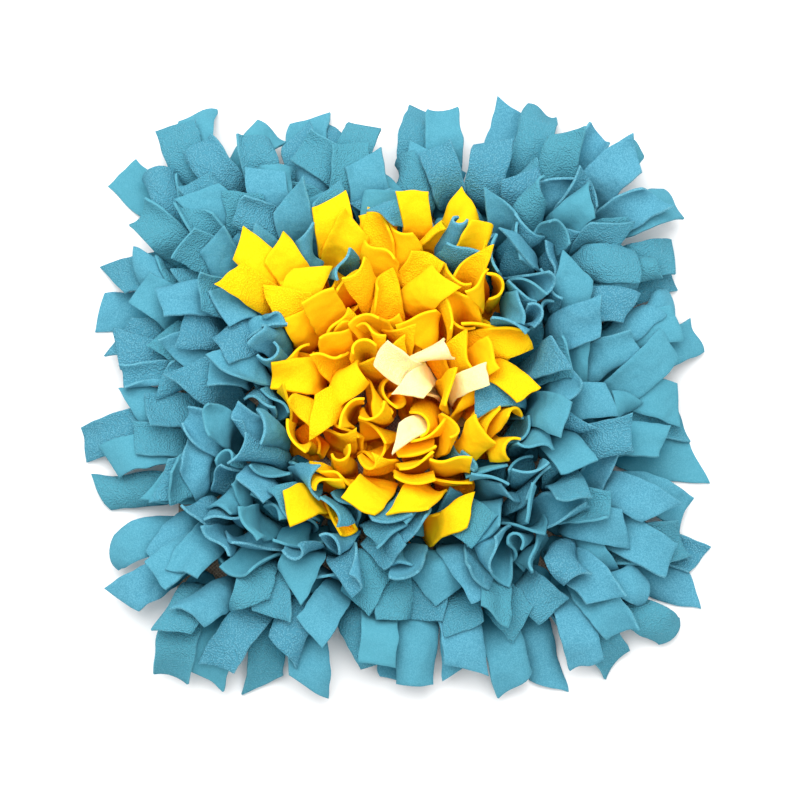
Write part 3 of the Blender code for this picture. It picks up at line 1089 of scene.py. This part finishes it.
    def _pairs(self) -> tuple[Array, ...]:
        """Looks up the points of different strips that are near each other.

        Returns:
            The two points of each pair, and the side of each on which the other lies.
        """
        grid = self.strips.grid
        points, normals = grid.reshape(-1, 3), self._normals().reshape(-1, 3)
        lock_of = np.repeat(np.arange(len(grid)), grid.shape[1] * grid.shape[2])
        cell = np.floor((points + self.corner) / self.reach).astype(np.int64)
        key = (cell[:, 0] * self.span + cell[:, 1]) * self.span + cell[:, 2]
        order = np.argsort(key, kind="stable")
        ranked = key[order]
        first, second = [], []
        beside = (-1, 0, 1)
        steps = [(x * self.span + y) * self.span + z for x in beside for y in beside for z in beside]
        for step in (step for step in steps if step >= 0):
            low = np.searchsorted(ranked, key + step, "left")
            count = np.searchsorted(ranked, key + step, "right") - low
            a = np.repeat(np.arange(len(key)), count)
            start = np.repeat(low - np.concatenate(([0], np.cumsum(count)[:-1])), count)
            b = order[start + np.arange(len(a))]
            keep = (lock_of[a] != lock_of[b]) & ((step > 0) | (a < b))
            a, b = a[keep], b[keep]
            keep = ((points[a] - points[b]) ** 2).sum(1) < self.reach**2
            first.append(a[keep])
            second.append(b[keep])
        a, b = np.concatenate(first), np.concatenate(second)
        gap = points[b] - points[a]
        side_a = np.where((gap * normals[a]).sum(1) < 0, -1.0, 1.0)
        side_b = np.where((gap * normals[b]).sum(1) < 0, -1.0, 1.0)
        side_a, side_b = self._parted_sides(a, b, side_a, side_b)
        return a, b, side_a, side_b

    def _part(self, pairs: tuple[Array, ...], normals: Array) -> None:
        """Pushes apart the strips that are closer than their thickness.

        Args:
            pairs: The near pairs.
            normals: The points' normals.
        """
        a, b, side_a, side_b = pairs
        points, normals = self.strips.grid.reshape(-1, 3), normals.reshape(-1, 3)
        gap = points[b] - points[a]
        off_a = (gap * normals[a]).sum(1) * side_a
        off_b = (gap * normals[b]).sum(1) * side_b
        use_a = off_a > off_b
        off = np.where(use_a, off_a, off_b)
        aside = np.sqrt(np.maximum((gap**2).sum(1) - off**2, 0))
        weight = np.clip(1 - (aside - self.disc) / self.fade, 0, 1)
        deep = np.clip(self.apart - off, 0, self.most_push * self.apart) * weight
        hit = deep > 0
        a, b, use_a, deep = a[hit], b[hit], use_a[hit], deep[hit]
        push = np.where(use_a[:, None], normals[a] * side_a[hit, None], normals[b] * side_b[hit, None])
        push *= deep[:, None] * 0.5
        count = np.bincount(a, minlength=len(points)) + np.bincount(b, minlength=len(points))
        for axis in range(3):
            move = np.bincount(b, push[:, axis], len(points)) - np.bincount(a, push[:, axis], len(points))
            points[:, axis] += move / np.maximum(1, self.shared_push * count)

    def _round(self, pairs: tuple[Array, ...]) -> None:
        """One round: droop, bend, stretch, part and rest on what lies below.

        Args:
            pairs: The near pairs.
        """
        s, g = self.strips, self.strips.grid
        share = np.minimum(1.0, s.age / self.growing)
        roots = g[:, :2].copy()
        g[..., 2] -= self.droop * np.linspace(0, 1, g.shape[1])[None, :, None]
        g += ((s.home - g.mean(2)) * s.hold[..., None])[:, :, None]
        normals = self._normals()
        self._bend(normals, share)
        self._stretch(share)
        self._part(pairs, normals)
        self._stretch(share)
        over = np.maximum(abs(g[..., 0]), abs(g[..., 1])) < SIZES.base_side / 2 + 1 * MM
        lowest = np.where(over, SIZES.base_top + self.over_base, SIZES.thick / 2 + self.over_floor)
        g[..., 2] = np.maximum(g[..., 2], lowest)
        middle = roots.mean(2, keepdims=True)
        spread = roots - middle
        now = np.maximum(np.linalg.norm(spread, axis=3, keepdims=True).max(2, keepdims=True) * 2, 1e-6)
        wide = (s.width + (s.full_width - s.width) * share[:, None])[:, :2, None, None]
        g[:, :2] = middle + spread * (1 + self.opening * (wide / now - 1))

    def _cut(self, rng: Generator) -> Array:
        """Cuts each strip's end at its own angle, and its edges a little unevenly.

        Args:
            rng: Random numbers.

        Returns:
            The points of the cut strips.
        """
        grid = self.strips.grid
        n, rows, columns, _ = grid.shape
        slant = rng.normal(0, self.slant, n)
        u = np.linspace(-0.5, 0.5, columns)
        short = abs(slant)[:, None] * (1 + 2 * np.sign(slant)[:, None] * u)
        short = short + rng.uniform(0, self.ragged, (n, columns)) + self._trims()[:, None]
        at = np.linspace(0, 1, rows)[None, :, None] * (1 - short[:, None]) * (rows - 1)
        low = np.minimum(at.astype(int), rows - 2)
        part = (at - low)[..., None]
        i, c = np.arange(n)[:, None, None], np.arange(columns)[None, None]
        cut = grid[i, low, c] * (1 - part) + grid[i, low + 1, c] * part
        outwards = cut[:, :, [0, -1]] - cut[:, :, [1, -2]]
        outwards /= np.maximum(np.linalg.norm(outwards, axis=3, keepdims=True), 1e-9)
        cut[:, :, [0, -1]] += outwards * rng.normal(0, self.uneven, (n, rows, 2, 1))
        return cut


@dataclass(frozen=True)
class FleeceFinish:
    """The look of one dye of fleece: linear colours, the scale of its nap and its sheen.

    The nap is light on its pebbles and deep between them, painted shade, and some strips shift to another lot.
    The cut edge has its own colour, a painted highlight in the teal and cream, and strips turn to the inner
    colour well down in the pile, painted shade with the glow of light bounced between the strips.
    """

    slot: str
    light: Colour
    # Painted shade: the nap's colour between its pebbles.
    deep: Colour
    shift: Colour
    # The cut edge's colour; in the teal and cream it is lighter than the faces, a painted highlight.
    edge: Colour
    # Painted shade: the colour well down in the pile, with the glow of light bounced between the strips.
    inner: Colour
    nap: float = 0.0011
    relief: float = 0.8 * MM
    nap_strength: float = 0.9
    roughness: float = 0.92
    specular: float = 0.06
    sheen: float = 0.25
    sheen_roughness: float = 0.5
    through: float = 0.0
    through_radius: Colour = (1.0, 0.35, 0.1)
    through_scale: float = 4 * MM


@dataclass(frozen=True)
class CanvasFinish:
    """The look of the base mat's unbleached canvas: linear colours and the size of its threads."""

    # Painted shade: the canvas is dark where the weave is low and light where the threads cross on top.
    dark: Colour = (0.20, 0.155, 0.11)
    light: Colour = (0.40, 0.33, 0.25)
    thread: float = 0.0012
    relief: float = 0.4 * MM
    roughness: float = 0.95


FINISHES: dict[Fleece, FleeceFinish] = {
    Fleece.TEAL: FleeceFinish(
        "teal_fleece",
        light=(0.136, 0.396, 0.522),
        deep=(0.050, 0.222, 0.315),
        shift=(0.076, 0.305, 0.380),
        edge=(0.210, 0.515, 0.625),
        inner=(0.015, 0.140, 0.205),
        relief=1.3 * MM,
    ),
    Fleece.YELLOW: FleeceFinish(
        "yellow_fleece",
        light=(1.0, 0.680, 0.010),
        deep=(1.0, 0.520, 0.003),
        shift=(1.0, 0.590, 0.006),
        edge=(1.0, 0.670, 0.012),
        inner=(1.0, 0.200, 0.000),
    ),
    Fleece.CREAM: FleeceFinish(
        "cream_fleece",
        light=(1.0, 0.880, 0.470),
        deep=(1.0, 0.790, 0.350),
        shift=(1.0, 0.840, 0.410),
        edge=(1.0, 0.890, 0.520),
        inner=(1.0, 0.620, 0.150),
        through=0.4,
    ),
}


class Face(Enum):
    """The faces of a strip of fleece."""

    NAPPED = "napped"
    SMOOTH = "smooth"
    CUT = "cut"


class Wiring:
    """Adds nodes to a tree."""

    def __init__(self, tree: bpy.types.NodeTree) -> None:
        """Keeps the tree."""
        self.tree = tree

    def add(self, kind: str, inputs: Inputs | None = None, **settings: object) -> bpy.types.Node:
        """Adds a node.

        Args:
            kind: Its type.
            inputs: For each input, by its name or number, a value or the output that it is linked to.
            settings: Its properties.

        Returns:
            The node.
        """
        node = self.tree.nodes.new(kind)
        for name, value in settings.items():
            setattr(node, name, value)
        self.fill(node, inputs or {})
        return node

    def fill(self, node: bpy.types.Node, inputs: Inputs) -> None:
        """Sets or links inputs of a node.

        Args:
            node: The node.
            inputs: For each input, a value or the output that it is linked to.
        """
        for name, value in inputs.items():
            if isinstance(value, bpy.types.NodeSocket):
                self.tree.links.new(value, node.inputs[name])
            else:
                node.inputs[name].default_value = value

    def math(self, operation: str, *terms: object) -> bpy.types.NodeSocket:
        """The result of a Math node on values or outputs."""
        return self.add("ShaderNodeMath", dict(enumerate(terms)), operation=operation).outputs[0]

    def mixed(self, share: bpy.types.NodeSocket, first: object, second: object) -> bpy.types.NodeSocket:
        """A mix of two colours, each plain or from an output.

        Args:
            share: The share of the second.
            first: One colour.
            second: The other.

        Returns:
            The mixed colour.
        """
        first, second = ((*c, 1) if isinstance(c, tuple) else c for c in (first, second))
        inputs = {"Factor": share, "A": first, "B": second}
        return self.add("ShaderNodeMix", inputs, data_type="RGBA").outputs["Result"]


class ShaderGroups:
    """Shader node groups that several finishes use."""

    pebble_randomness: float = 1.0
    pebble_edge: float = 0.75
    pebble_top: float = 0.05
    fuzz_scale: float = 0.55
    fuzz_detail: float = 4.0
    fuzz_roughness: float = 0.65
    # How the nap's height maps to its Tone, which paints shade between the pebbles.
    tone_range: tuple[float, float, float, float] = (0.36, 0.64, 0.16, 0.93)

    def __init__(self) -> None:
        """Builds the groups once."""
        self.nap = self._nap_group()
        self.weave = self._weave_group()

    @staticmethod
    def _new_group(name: str, inputs: dict[str, float], outputs: tuple[str, ...]) -> bpy.types.NodeTree:
        """A shader group with float inputs and float outputs.

        Args:
            name: The group's name.
            inputs: Its inputs, with their values.
            outputs: Its outputs.

        Returns:
            The group.
        """
        group = bpy.data.node_groups.new(name, "ShaderNodeTree")
        for label, value in inputs.items():
            socket = group.interface.new_socket(label, in_out="INPUT", socket_type="NodeSocketFloat")
            socket.default_value = value
        for label in outputs:
            group.interface.new_socket(label, in_out="OUTPUT", socket_type="NodeSocketFloat")
        return group

    def _nap_group(self) -> bpy.types.NodeTree:
        """Pebbled nap: Height for the bump, and Tone, light on the pebbles and dark between them as painted
        shade.

        Returns:
            The group.
        """
        group = self._new_group("fleece_nap", {"Pebble": 0.0009, "Clump": 0.35}, ("Height", "Tone"))
        wires = Wiring(group)
        source, sink = wires.add("NodeGroupInput"), wires.add("NodeGroupOutput")
        place = wires.add("ShaderNodeTexCoord").outputs["Object"]
        per_metre = wires.math("DIVIDE", 1.0, source.outputs["Pebble"])
        pebbles = wires.add(
            "ShaderNodeTexVoronoi",
            {"Vector": place, "Scale": per_metre, "Randomness": self.pebble_randomness},
            feature="F1",
        )
        fuzz = wires.add(
            "ShaderNodeTexNoise",
            {
                "Vector": place,
                "Scale": wires.math("MULTIPLY", per_metre, self.fuzz_scale),
                "Detail": self.fuzz_detail,
                "Roughness": self.fuzz_roughness,
            },
        )
        round_top = wires.add("ShaderNodeMapRange", {"Value": pebbles.outputs["Distance"]})
        wires.fill(round_top, {"From Min": self.pebble_edge, "From Max": self.pebble_top})
        both = {"Factor": source.outputs["Clump"], "A": round_top.outputs["Result"], "B": fuzz.outputs["Fac"]}
        height = wires.add("ShaderNodeMix", both, data_type="FLOAT")
        tone = wires.add("ShaderNodeMapRange", {"Value": height.outputs["Result"]})
        wires.fill(tone, dict(zip(("From Min", "From Max", "To Min", "To Max"), self.tone_range)))
        wires.fill(sink, {"Height": height.outputs["Result"], "Tone": tone.outputs["Result"]})
        return group

    def _weave_group(self) -> bpy.types.NodeTree:
        """Plain weave on X and Y: Height of the crossing threads.

        Returns:
            The group.
        """
        group = self._new_group("canvas_weave", {"Thread": 0.0012}, ("Height",))
        wires = Wiring(group)
        source, sink = wires.add("NodeGroupInput"), wires.add("NodeGroupOutput")
        place = wires.add("ShaderNodeTexCoord").outputs["Object"]
        split = wires.add("ShaderNodeSeparateXYZ", {"Vector": place})
        waves = []
        for axis in "XY":
            threads = wires.math("DIVIDE", split.outputs[axis], source.outputs["Thread"])
            waves.append(wires.math("SINE", wires.math("MULTIPLY", threads, math.pi)))
        height = wires.math("MULTIPLY_ADD", wires.math("MULTIPLY", *waves), 0.5, 0.5)
        wires.fill(sink, {"Height": height})
        return group


class Dyer:
    """Makes the materials."""

    # For each face, the pebbles' size as a share of the finish's, the clumps' share, and the relief's
    naps: dict[Face, tuple[float, float, float]] = {
        Face.NAPPED: (1.0, 0.4, 1.0),
        Face.SMOOTH: (0.55, 0.7, 0.22),
        Face.CUT: (0.5, 0.6, 0.22),
    }
    lot_share: float = 0.7
    dent_scale: float = 85.0
    dent_depth: float = 2.4 * MM
    dent_detail: float = 1.5

    def __init__(self, groups: ShaderGroups) -> None:
        """Keeps the shared groups.

        Args:
            groups: The shader node groups.
        """
        self.groups = groups

    @staticmethod
    def _blank(name: str) -> tuple[bpy.types.Material, bpy.types.Node]:
        """A new node material and its Principled BSDF.

        Args:
            name: The material's name.

        Returns:
            The material and the shader.
        """
        material = bpy.data.materials.new(name)
        material.use_nodes = True
        return material, material.node_tree.nodes["Principled BSDF"]

    def fleece(self, finish: FleeceFinish, face: Face) -> bpy.types.Material:
        """One face of one dye of fleece.

        Args:
            finish: The dye's finish.
            face: Which face of the strip.

        Returns:
            The material.
        """
        material, shader = self._blank(f"{finish.slot}_{face.value}")
        wires = Wiring(material.node_tree)
        pebble, clump, relief = self.naps[face]
        pebbles = {"Pebble": finish.nap * pebble, "Clump": clump}
        nap = wires.add("ShaderNodeGroup", pebbles, node_tree=self.groups.nap)
        lot = wires.add("ShaderNodeAttribute", attribute_name="lot").outputs["Fac"]
        # The point's depth in the pile, which paints shade.
        depth = wires.add("ShaderNodeAttribute", attribute_name="depth").outputs["Fac"]
        # The cut face takes the edge colour, a painted highlight in the teal and cream.
        light = finish.edge if face is Face.CUT else finish.light
        # Painted shade between the nap's pebbles: deep there, light on their tops.
        tones = wires.mixed(nap.outputs["Tone"], finish.deep, light)
        lots = wires.mixed(wires.math("MULTIPLY", lot, self.lot_share), tones, finish.shift)
        # Painted shade: well down in the pile the colour turns to the inner one.
        colour = wires.mixed(depth, lots, finish.inner)
        place = wires.add("ShaderNodeTexCoord").outputs["Object"]
        soft = {"Vector": place, "Scale": self.dent_scale, "Detail": self.dent_detail}
        creases = wires.add("ShaderNodeTexNoise", soft)
        dented = {"Strength": 1.0, "Distance": self.dent_depth, "Height": creases.outputs["Fac"]}
        dents = wires.add("ShaderNodeBump", dented)
        bump = wires.add(
            "ShaderNodeBump",
            {
                "Strength": finish.nap_strength,
                "Distance": finish.relief * relief,
                "Height": nap.outputs["Height"],
                "Normal": dents.outputs["Normal"],
            },
        )
        wires.fill(
            shader,
            {
                "Base Color": colour,
                "Normal": bump.outputs["Normal"],
                "Roughness": finish.roughness,
                "Specular IOR Level": finish.specular,
                "Subsurface Weight": finish.through,
                "Subsurface Radius": finish.through_radius,
                "Subsurface Scale": finish.through_scale,
                "Sheen Weight": finish.sheen,
                "Sheen Roughness": finish.sheen_roughness,
                "Sheen Tint": (*finish.light, 1),
            },
        )
        return material

    def canvas(self, finish: CanvasFinish) -> bpy.types.Material:
        """The base mat's material.

        Args:
            finish: The canvas's finish.

        Returns:
            The material.
        """
        material, shader = self._blank("canvas_base")
        wires = Wiring(material.node_tree)
        weave = wires.add("ShaderNodeGroup", {"Thread": finish.thread}, node_tree=self.groups.weave)
        height = weave.outputs["Height"]
        bump = wires.add("ShaderNodeBump", {"Distance": finish.relief, "Height": height})
        # Painted shade: dark where the weave is low, light on the raised threads.
        colour = wires.mixed(height, finish.dark, finish.light)
        wires.fill(
            shader, {"Base Color": colour, "Normal": bump.outputs["Normal"], "Roughness": finish.roughness}
        )
        return material


@dataclass
class KnotTree:
    """Geometry Nodes that add a gathered knot at each tie to the strips, with part of the painted shade of the
    pile's depths.
    """

    length: float = 25 * MM
    width: float = 20 * MM
    height: float = 7 * MM
    around: int = 12
    rings: int = 7
    seed: int = 3
    lump_scale: float = 160.0
    lump_height: float = 4 * MM
    # Painted shade on the knots: how far they turn to the inner colour.
    shade: float = 0.7

    def build(self) -> bpy.types.NodeTree:
        """Builds the tree: strips in, strips and knots out.

        Returns:
            The tree.
        """
        tree = bpy.data.node_groups.new("tied_knots", "GeometryNodeTree")
        new = tree.interface.new_socket
        new("Geometry", in_out="INPUT", socket_type="NodeSocketGeometry")
        for label, value in (("Length", self.length), ("Width", self.width), ("Height", self.height)):
            new(label, in_out="INPUT", socket_type="NodeSocketFloat").default_value = value
        new("Seed", in_out="INPUT", socket_type="NodeSocketInt").default_value = self.seed
        new("Material", in_out="INPUT", socket_type="NodeSocketMaterial")
        new("Geometry", in_out="OUTPUT", socket_type="NodeSocketGeometry")
        wires = Wiring(tree)
        source, sink = wires.add("NodeGroupInput"), wires.add("NodeGroupOutput")
        tie = wires.add("GeometryNodeInputNamedAttribute", {"Name": "tie"}, data_type="BOOLEAN")
        parted = wires.add(
            "GeometryNodeSeparateGeometry",
            {"Geometry": source.outputs["Geometry"], "Selection": tie.outputs["Attribute"]},
            domain="POINT",
        )
        round_ball = {"Segments": self.around, "Rings": self.rings, "Radius": 0.5}
        ball = wires.add("GeometryNodeMeshUVSphere", round_ball)
        sizes = zip("XYZ", ("Length", "Width", "Height"))
        size = wires.add("ShaderNodeCombineXYZ", {axis: source.outputs[label] for axis, label in sizes})
        ball_sized = {"Geometry": ball.outputs["Mesh"], "Scale": size.outputs["Vector"]}
        scaled = wires.add("GeometryNodeTransform", ball_sized)
        turn = wires.add("GeometryNodeInputNamedAttribute", {"Name": "turn"}, data_type="FLOAT")
        spin = wires.add("ShaderNodeCombineXYZ", {"Z": turn.outputs["Attribute"]})
        placed = wires.add(
            "GeometryNodeInstanceOnPoints",
            {
                "Points": parted.outputs["Selection"],
                "Instance": scaled.outputs["Geometry"],
                "Rotation": spin.outputs["Vector"],
            },
        )
        real = wires.add("GeometryNodeRealizeInstances", {"Geometry": placed.outputs["Instances"]})
        lump_noise = {"Scale": self.lump_scale, "W": source.outputs["Seed"]}
        uneven = wires.add("ShaderNodeTexNoise", lump_noise, noise_dimensions="4D")
        offset = {0: uneven.outputs["Color"], 1: (0.5, 0.5, 0.5)}
        centred = wires.add("ShaderNodeVectorMath", offset, operation="SUBTRACT").outputs["Vector"]
        lumps = wires.add("ShaderNodeVectorMath", {0: centred, "Scale": self.lump_height}, operation="SCALE")
        lumpy = {"Geometry": real.outputs["Geometry"], "Offset": lumps.outputs["Vector"]}
        moved = wires.add("GeometryNodeSetPosition", lumpy)
        smooth = wires.add("GeometryNodeSetShadeSmooth", {"Geometry": moved.outputs["Geometry"]})
        # Painted shade: the knots take part of the inner colour.
        shaded = wires.add(
            "GeometryNodeStoreNamedAttribute",
            {"Geometry": smooth.outputs["Geometry"], "Name": "depth", "Value": self.shade},
            data_type="FLOAT",
        )
        dressed = wires.add(
            "GeometryNodeSetMaterial",
            {"Geometry": shaded.outputs["Geometry"], "Material": source.outputs["Material"]},
        )
        joined = wires.add("GeometryNodeJoinGeometry")
        for part in (dressed.outputs["Geometry"], parted.outputs["Inverted"]):
            wires.fill(joined, {"Geometry": part})
        wires.fill(sink, {"Geometry": joined.outputs["Geometry"]})
        return tree

    @staticmethod
    def set_input(modifier: bpy.types.NodesModifier, label: str, value: object) -> None:
        """Sets one named input of the tree on its modifier.

        Args:
            modifier: The modifier.
            label: The input's name.
            value: Its value.
        """
        for item in modifier.node_group.interface.items_tree:
            if item.item_type == "SOCKET" and item.in_out == "INPUT" and item.name == label:
                modifier[item.identifier] = value


@dataclass
class StripField:
    """The strips and knots of one CAD node, as one piece."""

    node: str
    dye: Fleece
    locks: list[Lock]
    grids: Array
    # Each point's depth in the pile, for its painted shade.
    painted_shade_depths: Array
    first: int
    bevel: float = 0.35 * MM
    bevel_from: float = math.radians(50)
    knot_rise: float = 3 * MM
    knot_swing: float = 0.3
    lot_seed: int = 100
    turn_seed: int = 500
    flat_strips: int = field(init=False)

    def __post_init__(self) -> None:
        """Counts the strips: each has two locks."""
        self.flat_strips = max(1, len(self.locks) // 2)

    def build(self, dyer: Dyer, knots: bpy.types.NodeTree) -> bpy.types.Object:
        """Makes the piece.

        Args:
            dyer: Makes the materials.
            knots: The knots' Geometry Nodes tree.

        Returns:
            The finished piece, a plain mesh at the origin.
        """
        finish = FINISHES[self.dye]
        materials = [dyer.fleece(finish, face) for face in Face]
        piece = self._sheets(materials)
        self._thicken(piece)
        plain = self._baked(piece, self.node + "_sheets")
        self._add_ties(plain)
        modifier = plain.modifiers.new("knots", "NODES")
        modifier.node_group = knots
        KnotTree.set_input(modifier, "Material", materials[1])
        KnotTree.set_input(modifier, "Seed", self.first)
        done = self._baked(plain, self.node + "_strips")
        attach(done, "root")
        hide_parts(self.node)
        return done

    def _sheets(self, materials: list[bpy.types.Material]) -> bpy.types.Object:
        """The open middle surfaces of all the strips, with each strip's own lot and each point's depth in the
        pile, which paints shade.

        Args:
            materials: The faces' materials.

        Returns:
            The sheets as one object.
        """
        n, rows, columns, _ = self.grids.shape
        faces = faces_of(np.arange(n * rows * columns).reshape(n, rows, columns))
        mesh = bpy.data.meshes.new(self.node)
        mesh.from_pydata(self.grids.reshape(-1, 3).tolist(), [], faces.reshape(-1, 4).tolist())
        rng = np.random.default_rng(self.lot_seed + self.first)
        lots = np.repeat(rng.random(n), rows * columns)
        mesh.attributes.new("lot", "FLOAT", "POINT").data.foreach_set("value", lots.astype(np.float32))
        # Each point's depth in the pile, for the painted shade.
        painted_shade_depths = self.painted_shade_depths.ravel().astype(np.float32)
        mesh.attributes.new("depth", "FLOAT", "POINT").data.foreach_set("value", painted_shade_depths)
        for material in materials:
            mesh.materials.append(material)
        mesh.shade_smooth()
        piece = bpy.data.objects.new(self.node, mesh)
        bpy.context.scene.collection.objects.link(piece)
        return piece

    def _thicken(self, piece: bpy.types.Object) -> None:
        """Smooths the surfaces, gives them their thickness and rounds the cut edges.

        Args:
            piece: The open sheets.
        """
        smooth = piece.modifiers.new("smooth", "SUBSURF")
        smooth.levels = smooth.render_levels = 1
        smooth.boundary_smooth = "PRESERVE_CORNERS"
        thick = piece.modifiers.new("thick", "SOLIDIFY")
        thick.thickness = SIZES.thick
        thick.offset = 0.0
        thick.use_even_offset = False
        thick.material_offset = 1
        thick.material_offset_rim = 2
        edge = piece.modifiers.new("cut_edge", "BEVEL")
        edge.width = self.bevel
        edge.segments = 1
        edge.limit_method = "ANGLE"
        edge.angle_limit = self.bevel_from

    @staticmethod
    def _baked(obj: bpy.types.Object, name: str) -> bpy.types.Object:
        """A plain mesh object of the evaluated one, which is removed.

        Args:
            obj: The object, with its modifiers.
            name: The new object's name.

        Returns:
            The new object.
        """
        bpy.context.view_layer.update()
        mesh = bpy.data.meshes.new_from_object(obj.evaluated_get(bpy.context.evaluated_depsgraph_get()))
        mesh.name = name
        bpy.data.objects.remove(obj)
        made = bpy.data.objects.new(name, mesh)
        bpy.context.scene.collection.objects.link(made)
        return made

    def _add_ties(self, piece: bpy.types.Object) -> None:
        """Adds a loose point at each tie for its knot to stand on, with the way that the strip runs.

        Args:
            piece: The strips.
        """
        half = (np.array([lock.root[:2] for lock in self.locks]) / SIZES.pitch * 2).round(6)
        cells = sorted({(math.floor(x / 2), math.floor(y / 2)) for x, y in half.tolist()})
        mesh = piece.data
        count = len(mesh.vertices)
        mesh.vertices.add(len(cells))
        rng = np.random.default_rng(self.turn_seed + self.first)
        mesh.attributes.new("tie", "BOOLEAN", "POINT")
        mesh.attributes.new("turn", "FLOAT", "POINT")
        for k, (i, j) in enumerate(cells):
            middle = ((i + 0.5) * SIZES.pitch, (j + 0.5) * SIZES.pitch)
            mesh.vertices[count + k].co = (*middle, SIZES.pad_low + self.knot_rise)
            mesh.attributes["tie"].data[count + k].value = True
            turn = math.atan2(middle[1], middle[0]) + rng.normal(0, self.knot_swing)
            mesh.attributes["turn"].data[count + k].value = turn


@dataclass(frozen=True)
class Lamp:
    """A square lamp that points at the middle of the floor."""

    name: str
    place: tuple[float, float, float]
    size: float
    power: float

    def build(self) -> None:
        """Makes the lamp."""
        data = bpy.data.lights.new(self.name, "AREA")
        data.shape = "SQUARE"
        data.size = self.size
        data.energy = self.power
        lamp = bpy.data.objects.new(self.name, data)
        lamp.location = self.place
        x, y, z = self.place
        lamp.rotation_euler = (math.atan2(math.hypot(x, y), z), 0, math.atan2(y, x) + math.pi / 2)
        bpy.context.scene.collection.objects.link(lamp)


@dataclass
class Studio:
    """The pale floor, the soft light and the camera."""

    elevation: float = 78.5
    distance: float = 1.7
    frame_width: float = 0.5
    sensor: float = 36
    aim: tuple[float, float, float] = (2.1 * MM, -1.3 * MM, 0.0)
    floor_size: float = 12
    floor_colour: Colour = (0.93, 0.93, 0.93)
    floor_roughness: float = 0.8
    floor_specular: float = 0.1
    surround: float = 0.66
    lamps: tuple[Lamp, ...] = (
        Lamp("lamp_back", (-0.35, 0.75, 1.85), size=1.9, power=42),
        Lamp("lamp_top", (0.3, -0.2, 2.2), size=2.0, power=25),
    )

    def build(self) -> None:
        """Makes the stage."""
        self._floor()
        self._lights()
        self._camera()

    def _floor(self) -> None:
        """A large pale floor."""
        bpy.ops.mesh.primitive_plane_add(size=self.floor_size)
        floor = bpy.context.object
        floor.name = "studio_floor"
        material = bpy.data.materials.new("floor")
        material.use_nodes = True
        shader = material.node_tree.nodes["Principled BSDF"]
        shader.inputs["Base Color"].default_value = (*self.floor_colour, 1)
        shader.inputs["Roughness"].default_value = self.floor_roughness
        shader.inputs["Specular IOR Level"].default_value = self.floor_specular
        floor.data.materials.append(material)

    def _lights(self) -> None:
        """A bright surround, a wide lamp from the back and a weaker one from above."""
        world = bpy.data.worlds.new("studio")
        world.use_nodes = True
        background = world.node_tree.nodes["Background"]
        background.inputs["Color"].default_value = (1.0, 1.0, 1.0, 1)
        background.inputs["Strength"].default_value = self.surround
        bpy.context.scene.world = world
        for lamp in self.lamps:
            lamp.build()

    def _camera(self) -> None:
        """The camera, nearly overhead, from the front."""
        data = bpy.data.cameras.new("camera")
        data.sensor_width = self.sensor
        data.lens = self.sensor * self.distance / self.frame_width
        camera = bpy.data.objects.new("camera", data)
        rise = math.radians(self.elevation)
        camera.location = (
            self.aim[0],
            self.aim[1] - self.distance * math.cos(rise),
            self.aim[2] + self.distance * math.sin(rise),
        )
        camera.rotation_euler = (math.pi / 2 - rise, 0, 0)
        bpy.context.scene.collection.objects.link(camera)
        bpy.context.scene.camera = camera
        bpy.context.scene.view_settings.view_transform = "Standard"


def dye_of(node: str) -> Fleece:
    """The dye that a CAD node's name gives."""
    return Fleece(node.split("_")[0])


def main() -> None:
    """Builds every piece around the frame."""
    logging.basicConfig(level=logging.INFO, format="%(name)s: %(message)s")
    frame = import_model()
    fields_of_mat = sorted(name for name in frame["nodes"] if name != "base_mat")
    reader = LockReader()
    every = [lock for name in fields_of_mat for lock in reader.read(name, frame["nodes"][name])]
    LOG.info("%d locks read", len(every))
    settler = Settler(CurlMaker(), GapFiller())
    every, grids = settler.settle(every)
    # Each point's depth in the pile, for its painted shade.
    painted_shade_depths = settler.buried(grids)
    LOG.info("%d locks settled", len(every))
    dyer = Dyer(ShaderGroups())
    knots = KnotTree().build()
    for k, name in enumerate(fields_of_mat):
        mine = [i for i, lock in enumerate(every) if lock.node == name]
        strips = StripField(name, dye_of(name), [every[i] for i in mine], grids[mine], painted_shade_depths[mine], k)
        piece = strips.build(dyer, knots)
        LOG.info("%s: %d locks, %d faces", piece.name, len(mine), len(piece.data.polygons))
    base = frame["nodes"]["base_mat"]
    canvas = dyer.canvas(CanvasFinish())
    for slot in base.material_slots:
        slot.material = canvas
    Studio().build()


if __name__ == "__main__":
    main()
